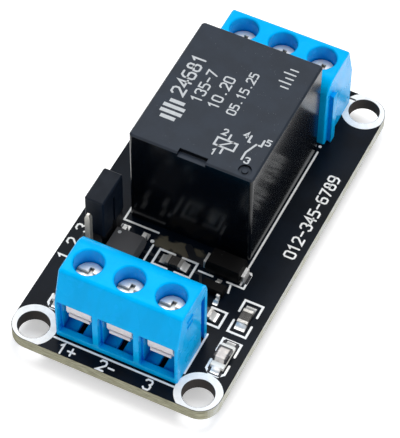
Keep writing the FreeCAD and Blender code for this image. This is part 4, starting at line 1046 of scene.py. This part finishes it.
def tail_solder():
    """Soft, hollow-sided solder round every tail under the board, each on its copper ring."""
    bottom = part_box("circuit_board")[0].z
    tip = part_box("solder_joints")[0].z
    bm = bmesh.new()
    foot = 1.25 * MM
    rim = foot + 0.12 * MM
    ends = [(rim, bottom - 0.01 * MM), (rim, bottom + COPPER_ROOT)]
    shares = [step / 6 for step in range(7)]
    for x, y, half in tail_places():
        neck = half + 0.2 * MM
        sides = [(neck + (foot - neck) * share ** 2.6, tip + (bottom - tip) * share) for share in shares]
        lathe(bm, x, y, [(half * 0.6, tip - 0.05 * MM)] + sides + ends, wobble=0.03)
    return finish_mesh("tail_solder", bm, 50.0)


def mound(bm, start, run, side, z0, height):
    """A solder fillet on a pad: high along its start line and thin where it has run out to one side."""
    (x0, y0), (x1, y1) = start
    steps = 5
    rings = []
    for j in range(steps + 1):
        across = j / steps
        crown = 1 - 0.25 * abs(2 * across - 1) ** 3
        ridge = []
        for i in range(steps + 1):
            share = i / steps
            rise = FILLET_EDGE + height * (1 - share) ** 2.2 * crown
            ridge.append((x0 + (x1 - x0) * across + run * side[0] * share,
                          y0 + (y1 - y0) * across + run * side[1] * share, z0 + rise))
        rings.append(ridge + [(x, y, z0) for x, y, _ in reversed(ridge)])
    skin(bm, rings)


def surface_solder():
    """Fillets at the ends of the chips and lamps, and at the transistor's leads."""
    pad_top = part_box("surface_pads")[1].z
    core = looks("small").lamp_core_width / 2
    bm = bmesh.new()
    for node, along_x in (("resistor_1_ends", True), ("resistor_2_ends", False), ("resistor_3_ends", True),
                          ("status_lamp_base", False), ("power_lamp_base", False)):
        low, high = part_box(node)
        lamp = "lamp" in node
        height = LAMP_FILLET_HEIGHT if lamp else FILLET_HEIGHT
        middle = (low.x + high.x) / 2
        x0, x1 = (middle - core, middle + core) if lamp else (low.x, high.x)
        for side, end in ((-1, low), (1, high)):
            if along_x:
                mound(bm, ((end.x, low.y), (end.x, high.y)), FILLET_RUN, (side, 0), pad_top, height)
            else:
                mound(bm, ((x0, end.y), (x1, end.y)), FILLET_RUN, (0, side), pad_top, height)
    low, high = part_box("transistor_leads")
    half = 0.3 * MM
    for x, y, side in ((low.x + 0.2 * MM, low.y, -1), (high.x - 0.2 * MM, low.y, -1),
                       ((low.x + high.x) / 2, high.y, 1)):
        mound(bm, ((x - half, y), (x + half, y)), LEAD_FILLET_RUN, (0, side), pad_top, LEAD_FILLET_HEIGHT)
    return finish_mesh("surface_solder", bm, 60.0)


# Screws


def screw_mesh(name, node):
    """A slotted, slightly domed screw with a real thread on its shank, in the place of a plain one."""
    given = looks("terminal")
    low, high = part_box(node)
    x, y = (low.x + high.x) / 2, (low.y + high.y) / 2
    head = (high.x - low.x) / 2
    seat = high.z - HEAD_HEIGHT
    bm = bmesh.new()
    chamfer = 0.05 * MM
    crown = 0.14 * MM
    edge = high.z - crown
    angles = [math.pi / 2 * step / 6 for step in range(7)]
    domed = [(head - crown + crown * math.cos(a), edge + crown * math.sin(a)) for a in angles]
    lathe(bm, x, y, [(head - chamfer, seat), (head, seat + chamfer)] + domed, 48)
    thread(bm, x, y, SHANK_RADIUS - given.thread_height, SHANK_RADIUS, low.z, seat, given.thread_pitch)
    body = add_object("screw_body", finish_mesh("screw_body", bm))
    cutter = slot_cutter(x, y, high.z, head, given)
    cut = body.modifiers.new("Slot", "BOOLEAN")
    cut.operation = "DIFFERENCE"
    cut.solver = "EXACT"
    cut.object = cutter
    slotted = baked(body)
    bpy.data.objects.remove(cutter)
    return finish_mesh(name, slotted, 35.0)


def slot_cutter(x, y, z_top, head, given):
    """The screwdriver's cross: one long slot across the head and a short one over it."""
    half = given.slot_width / 2
    long_arm = head * 1.2
    short_arm = head * 0.55
    outline = [(-long_arm, -half), (-half, -half), (-half, -short_arm), (half, -short_arm), (half, -half),
               (long_arm, -half), (long_arm, half), (half, half), (half, short_arm), (-half, short_arm),
               (-half, half), (-long_arm, half)]
    bm = bmesh.new()
    slab(bm, [(x + u, y + v) for u, v in outline], z_top - given.slot_depth, z_top + 0.5 * MM)
    return add_object("slot_cutter", finish_mesh("slot_cutter", bm))


def thread(bm, x, y, core, crest, z0, z1, pitch):
    """A screw thread as one closed skin: its radius rises and falls once a pitch, along a helix."""
    count = 24
    rows_per_pitch = 8
    rows = max(4, int(round((z1 - z0) / pitch * rows_per_pitch)))
    rings = []
    for row in range(rows + 1):
        z = z0 + (z1 - z0) * row / rows
        fade = max(0.0, min(1.0, (z - z0) / (0.5 * pitch), (z1 - z) / (0.5 * pitch)))
        phases = [((z - z0) / pitch - i / count) % 1.0 for i in range(count)]
        radii = [core + (crest - core) * fade * (1 - abs(2 * phase - 1)) for phase in phases]
        rings.append(at_height(ring_points(x, y, radii), z))
    skin(bm, rings)


# Winding, made by Geometry Nodes


def winding_tree():
    """Turns of wire laid side by side on a drum: one ring of wire repeated along a line."""
    inputs = {"Drum radius": "Float", "Wire radius": "Float", "Turns": "Int", "Wire": "Material"}
    group, tree = geometry_tree("wound_turns", inputs)
    if tree is None:
        return group
    given = tree.add("NodeGroupInput").outputs
    out = tree.add("NodeGroupOutput").inputs
    ring = tree.add("GeometryNodeCurvePrimitiveCircle", Resolution=64, Radius=given["Drum radius"])
    section = tree.add("GeometryNodeCurvePrimitiveCircle", Resolution=8, Radius=given["Wire radius"])
    turn = tree.add("GeometryNodeCurveToMesh", Curve=ring.outputs[0], Profile_Curve=section.outputs[0])
    step = tree.add("ShaderNodeCombineXYZ", Z=tree.math("MULTIPLY", given["Wire radius"], 2.0))
    line = tree.add("GeometryNodeMeshLine", Count=given["Turns"], Offset=step.outputs[0])
    copies = tree.add("GeometryNodeInstanceOnPoints", Points=line.outputs[0], Instance=turn.outputs[0])
    real = tree.add("GeometryNodeRealizeInstances", Geometry=copies.outputs[0])
    coated = tree.add("GeometryNodeSetMaterial", Geometry=real.outputs[0], Material=given["Wire"])
    tree.feed(out["Geometry"], coated.outputs[0])
    return group


def winding_mesh(wire):
    """The winding as a plain mesh in its place round the core."""
    diameter = looks("relay").wire_diameter
    radius = diameter / 2
    low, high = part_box("relay_winding")
    middle = (low + high) / 2
    drum = (high.x - low.x) / 2 - radius
    holder = add_object("winding_holder", bpy.data.meshes.new("winding_holder"))
    live_nodes(holder, "Wound turns", winding_tree(), Drum_radius=drum, Wire_radius=radius,
               Turns=int((high.z - low.z) / diameter), Wire=wire)
    bm = baked(holder)
    bm.transform(Matrix.Translation((middle.x, middle.y, low.z + radius)))
    lathe(bm, middle.x, middle.y, [(drum, low.z), (drum, high.z)], 48)
    return finish_mesh("relay_winding_turns", bm, 60.0)


# Small marks on the packages


def package_marks():
    """The moulded dot that marks the optocoupler's first lead."""
    bm = bmesh.new()
    thin = 0.01 * MM
    low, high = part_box("optocoupler_body")
    dot = circle_points(low.x + 0.8 * MM, high.y - 0.8 * MM, 0.22 * MM, 20)
    slab(bm, dot, high.z - thin, high.z + thin)
    return finish_mesh("package_marks", bm)


# Operators, one for each group of pieces


class RELAY_OT_board(bpy.types.Operator):
    """Finish the board and lay its copper runs"""
    bl_idname = "relay_board.board"
    bl_label = "Board"

    def execute(self, context):
        given = looks("board")
        dress("circuit_board", laminate_material("board_laminate"), sharp_degrees=40.0)
        lacquer = plastic("lacquered_copper", given.trace_colour, 0.32, 2600.0, 230.0, 0.004, 1.2)
        new_piece("board_traces", board_traces(), lacquer)
        return {"FINISHED"}


class RELAY_OT_print(bpy.types.Operator):
    """Print the outlines, rings and numbers on the board"""
    bl_idname = "relay_board.print"
    bl_label = "Board print"

    def execute(self, context):
        ink = ink_material("board_ink", looks("board").ink_colour)
        new_piece("board_print", board_print(), ink)
        return {"FINISHED"}


class RELAY_OT_solder(bpy.types.Operator):
    """Run solder round the tails and at the ends of the small parts"""
    bl_idname = "relay_board.solder"
    bl_label = "Solder"

    def execute(self, context):
        given = looks("board")
        solder = metal("solder", given.solder_colour, 0.38, EVEN, 1800.0, 0.012, 0.75, 0.75)
        joints = new_piece("tail_solder", tail_solder(), solder)
        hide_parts("solder_joints")
        dress("surface_pads", metal("dark_pads", given.pad_colour, 0.45, EVEN, 1800.0, 0.004))
        new_piece("surface_solder", surface_solder(), solder)
        return {"FINISHED"}


class RELAY_OT_terminals(bpy.types.Operator):
    """Finish the terminal housings, cages and contacts"""
    bl_idname = "relay_board.terminals"
    bl_label = "Terminals"

    def execute(self, context):
        given = looks("terminal")
        cage = metal("cage_plate", given.cage_colour, 0.4, ALONG_Y, 4200.0, 0.004, 0.88, 0.2)
        strip = metal("contact_strip", given.contact_colour, 0.36, ALONG_X, 4200.0, 0.004, 0.88, 0.35)
        for terminal in TERMINALS:
            dress(terminal + "_housing", housing_material("terminal_blue"))
            for index in POLES:
                dress("%s_cage_%d" % (terminal, index), cage)
                dress("%s_contact_%d" % (terminal, index), strip)
        return {"FINISHED"}


class RELAY_OT_screws(bpy.types.Operator):
    """Make the terminals' slotted screws"""
    bl_idname = "relay_board.screws"
    bl_label = "Screws"

    def execute(self, context):
        tone = looks("terminal").screw_colour
        # Painted shade in the screws' slots and other hollows
        plated = metal("screw_plate", tone, 0.34, EVEN, 2600.0, 0.01, 0.7, 0.5, hollow=0.4 * MM)
        for terminal in TERMINALS:
            for index in POLES:
                node = "%s_screw_%d" % (terminal, index)
                screw = new_piece(node + "_turned", screw_mesh(node + "_turned", node), plated, node)
                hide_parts(node)
        return {"FINISHED"}


class RELAY_OT_relay(bpy.types.Operator):
    """Finish the relay's cover and what it holds"""
    bl_idname = "relay_board.relay"
    bl_label = "Relay"

    def execute(self, context):
        given = looks("relay")
        dress("relay_cover", cover_material("relay_cover_black"), sharp_degrees=25.0)
        dress("relay_base", plastic("relay_base_black", given.cover_colour, 0.5))
        dress("relay_bobbin", plastic("bobbin_plastic", given.bobbin_colour, 0.4))
        iron = metal("plated_iron", given.iron_colour, 0.35, (1.0, 0.1, 1.0), 3600.0)
        bronze = metal("spring_bronze", given.bronze_colour, 0.25, ALONG_Y, 4800.0)
        strip = metal("relay_contact_strip", given.contact_colour, 0.28, ALONG_X, 4200.0)
        for made, names in ((iron, ("yoke", "core", "armature")), (bronze, ("spring_leg", "moving_contact")),
                            (strip, ("closed_contact", "open_contact", "common_pin", "coil_pins"))):
            for name in names:
                dress("relay_" + name, made)
        wire = metal("enamelled_wire", given.copper_colour, 0.2, EVEN, 2500.0, 0.002, 0.85)
        turns = new_piece("relay_winding_turns", winding_mesh(wire), wire)
        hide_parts("relay_winding")
        new_piece("relay_print", relay_print(), ink_material("relay_ink", given.print_colour))
        return {"FINISHED"}


class RELAY_OT_header(bpy.types.Operator):
    """Finish the pin header and its jumper"""
    bl_idname = "relay_board.header"
    bl_label = "Header and jumper"

    def execute(self, context):
        given = looks("small")
        dress("header_base", plastic("header_black", given.header_colour, 0.42, shine=0.25))
        pins = metal("pin_plate", given.pin_colour, 0.36, ALONG_Z, 4200.0, 0.0005, 0.8, 0.8)
        for index in POLES:
            dress("header_pin_%d" % index, pins)
        cap = plastic("jumper_black", given.jumper_colour, 0.48, depth=0.008, dust=0.1, shine=0.15)
        dress("jumper_cap", cap)
        dress("jumper_clip", pins)
        return {"FINISHED"}


class RELAY_OT_small_parts(bpy.types.Operator):
    """Finish the resistors, lamps, diode, transistor and optocoupler"""
    bl_idname = "relay_board.small_parts"
    bl_label = "Small parts"

    def execute(self, context):
        given = looks("small")
        tin = metal("tinned_end", looks("board").solder_colour, 0.42, EVEN, 2800.0, 0.006, 0.8, 0.75)
        chip_end = metal("chip_end", given.chip_end_colour, 0.3, EVEN, 3600.0, 0.03, 0.4, 0.8)
        ceramic = plastic("resistor_glaze", given.ceramic_colour, 0.25, 6000.0, 900.0, 0.003)
        for index in (1, 2, 3):
            dress("resistor_%d_body" % index, ceramic)
            dress("resistor_%d_ends" % index, chip_end)
        epoxy = plastic("package_epoxy", given.epoxy_colour, 0.5, 8000.0, 700.0, 0.008, dust=0.1, shine=0.2)
        dark = plastic("diode_epoxy", given.diode_colour, 0.55, 8000.0, 700.0, 0.008, dust=0.1, shine=0.12)
        for name, package in (("optocoupler", epoxy), ("diode", dark), ("transistor", dark)):
            dress(name + "_body", package)
            dress(name + "_leads", tin)
        finish_lamps(given)
        new_piece("package_marks", package_marks(), ink_material("package_ink", given.marking_colour))
        return {"FINISHED"}


def finish_lamps(given):
    """Resin that is milky along the lamps' middles, for the clear blocks and their base plates."""
    places = [centre(lamp + "_lens").x for lamp in LAMPS]
    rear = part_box("status_lamp_lens")[1].y
    half = given.lamp_core_width / 2
    rim = given.lamp_rim_colour
    resin = resin_material("lamp_resin", given.lamp_lens_colour, rim, places, half, rear - 0.45 * MM)
    plate = resin_material("lamp_plate", given.lamp_plate_colour, rim, places, half, rear, 0.4)
    for lamp in LAMPS:
        dress(lamp + "_base", plate)
        dress(lamp + "_lens", resin)


class RELAY_OT_stage(bpy.types.Operator):
    """Set up the floor, the light and the camera"""
    bl_idname = "relay_board.stage"
    bl_label = "Stage"

    def execute(self, context):
        scene = context.scene
        scene.view_settings.view_transform = "Standard"
        floor()
        world(scene)
        for name, (place, aim_height, size, power) in LIGHTS.items():
            soft_light(name, Vector(place), Vector((0.0, 0.0, aim_height)), size, power)
        scene.camera = camera(looks("stage"))
        return {"FINISHED"}


# The lights: place in metres, height of the point that each is turned to, size and power in watts

LIGHTS = {
    "overhead_light": ((-0.03, 0.14, 0.40), 0.0, 0.30, 1.35),
    "right_light": ((0.42, -0.06, 0.20), 0.005, 0.22, 0.75),
    "front_light": ((-0.10, -0.42, 0.26), 0.005, 0.25, 0.55),
}
FLOOR_HALF = 1.2
FLOOR_DROP = 0.02 * MM
NEAR_GLOW = 0.42
SKY_STRENGTH = 0.30


def floor():
    """A pale floor that stays white to the eye, keeps the object's shadow and hides nothing from below."""
    bm = bmesh.new()
    corners = ((-1, -1), (1, -1), (1, 1), (-1, 1))
    bm.faces.new([bm.verts.new((x * FLOOR_HALF, y * FLOOR_HALF, -FLOOR_DROP)) for x, y in corners])
    made = bpy.data.meshes.new("floor")
    bm.to_mesh(made)
    bm.free()
    piece = add_object("floor", made)
    paint(piece, floor_material(looks("stage")))


def floor_material(given):
    """Matt, with a glow that only the camera and reflections see, stronger far from the object."""
    made = bpy.data.materials.new("floor_pale")
    tree = emptied_tree(made)
    matt = tree.add("ShaderNodeBsdfDiffuse", Color=rgba(given.floor_colour))
    seen = tree.add("ShaderNodeLightPath").outputs
    away = tree.add("ShaderNodeVectorMath", {"operation": "LENGTH"})
    tree.feed(away.inputs[0], tree.add("ShaderNodeTexCoord").outputs["Object"])
    share = tree.ramp(away.outputs["Value"], given.floor_near, given.floor_far, NEAR_GLOW, 1.0)
    rays = tree.math("MAXIMUM", seen["Is Camera Ray"], seen["Is Glossy Ray"])
    glow = tree.add("ShaderNodeEmission", Color=rgba(WHITE), Strength=tree.math("MULTIPLY", rays, share))
    both = tree.add("ShaderNodeAddShader")
    tree.feed(both.inputs[0], matt.outputs[0])
    tree.feed(both.inputs[1], glow.outputs[0])
    behind = tree.add("ShaderNodeNewGeometry").outputs["Backfacing"]
    from_below = tree.math("MULTIPLY", behind, seen["Is Camera Ray"])
    unseen = tree.add("ShaderNodeBsdfTransparent")
    mixed = tree.add("ShaderNodeMixShader")
    for socket, value in zip(mixed.inputs, (from_below, both.outputs[0], unseen.outputs[0])):
        tree.feed(socket, value)
    tree.add("ShaderNodeOutputMaterial", Surface=mixed.outputs[0])
    return made


def world(scene):
    """Even light from all round, dim on the object and white to the camera."""
    sky = bpy.data.worlds.new("studio")
    tree = emptied_tree(sky)
    seen = tree.add("ShaderNodeLightPath").outputs["Is Camera Ray"]
    strength = tree.ramp(seen, 0.0, 1.0, SKY_STRENGTH, 1.0)
    ground = tree.add("ShaderNodeBackground", Color=rgba(WHITE), Strength=strength)
    tree.add("ShaderNodeOutputWorld", Surface=ground.outputs[0])
    scene.world = sky


def soft_light(name, place, aim, size, power):
    data = bpy.data.lights.new(name, "AREA")
    data.size = size
    data.energy = power
    lamp = add_object(name, data)
    lamp.location = place
    lamp.rotation_mode = "QUATERNION"
    lamp.rotation_quaternion = (aim - place).to_track_quat("-Z", "Y")


def camera(given):
    """The camera at the photograph's angle."""
    data = bpy.data.cameras.new("camera")
    data.lens = given.lens_mm
    data.sensor_width = 36.0
    data.clip_start = 0.01
    data.clip_end = 10.0
    made = add_object("camera", data)
    level = math.cos(given.elevation)
    forward = Vector((-math.sin(given.azimuth) * level, math.cos(given.azimuth) * level,
                      -math.sin(given.elevation)))
    right = forward.cross(Vector((0.0, 0.0, 1.0))).normalized()
    up = right.cross(forward)
    turned_right = right * math.cos(given.roll) + up * math.sin(given.roll)
    turned_up = up * math.cos(given.roll) - right * math.sin(given.roll)
    axes = Matrix((turned_right, turned_up, -forward)).transposed().to_4x4()
    target = Vector((-0.20 * MM, -0.85 * MM, board_top()))
    made.matrix_world = Matrix.Translation(target - forward * given.distance) @ axes
    return made


class RELAY_PT_looks(bpy.types.Panel):
    """The steps that dress the relay module board"""
    bl_label = "Relay board"
    bl_idname = "RELAY_PT_looks"
    bl_space_type = "VIEW_3D"
    bl_region_type = "UI"
    bl_category = "Relay board"

    def draw(self, context):
        for step in STEPS:
            self.layout.operator(step.bl_idname)


STEPS = (RELAY_OT_board, RELAY_OT_print, RELAY_OT_solder, RELAY_OT_terminals, RELAY_OT_screws, RELAY_OT_relay,
         RELAY_OT_header, RELAY_OT_small_parts, RELAY_OT_stage)
GROUPS = {"board": BoardLooks, "terminal": TerminalLooks, "relay": RelayLooks, "small": SmallPartLooks,
          "stage": StageLooks}


def register():
    for group in GROUPS.values():
        bpy.utils.register_class(group)
    for name, group in GROUPS.items():
        setattr(bpy.types.Scene, "relay_board_" + name, bpy.props.PointerProperty(type=group))
    for step in STEPS:
        bpy.utils.register_class(step)
    bpy.utils.register_class(RELAY_PT_looks)


def unregister():
    bpy.utils.unregister_class(RELAY_PT_looks)
    for step in reversed(STEPS):
        bpy.utils.unregister_class(step)
    for name, group in GROUPS.items():
        delattr(bpy.types.Scene, "relay_board_" + name)
        bpy.utils.unregister_class(group)


def main():
    register()
    for step in STEPS:
        prefix, name = step.bl_idname.split(".")
        getattr(getattr(bpy.ops, prefix), name)()


if __name__ == "__main__":
    main()
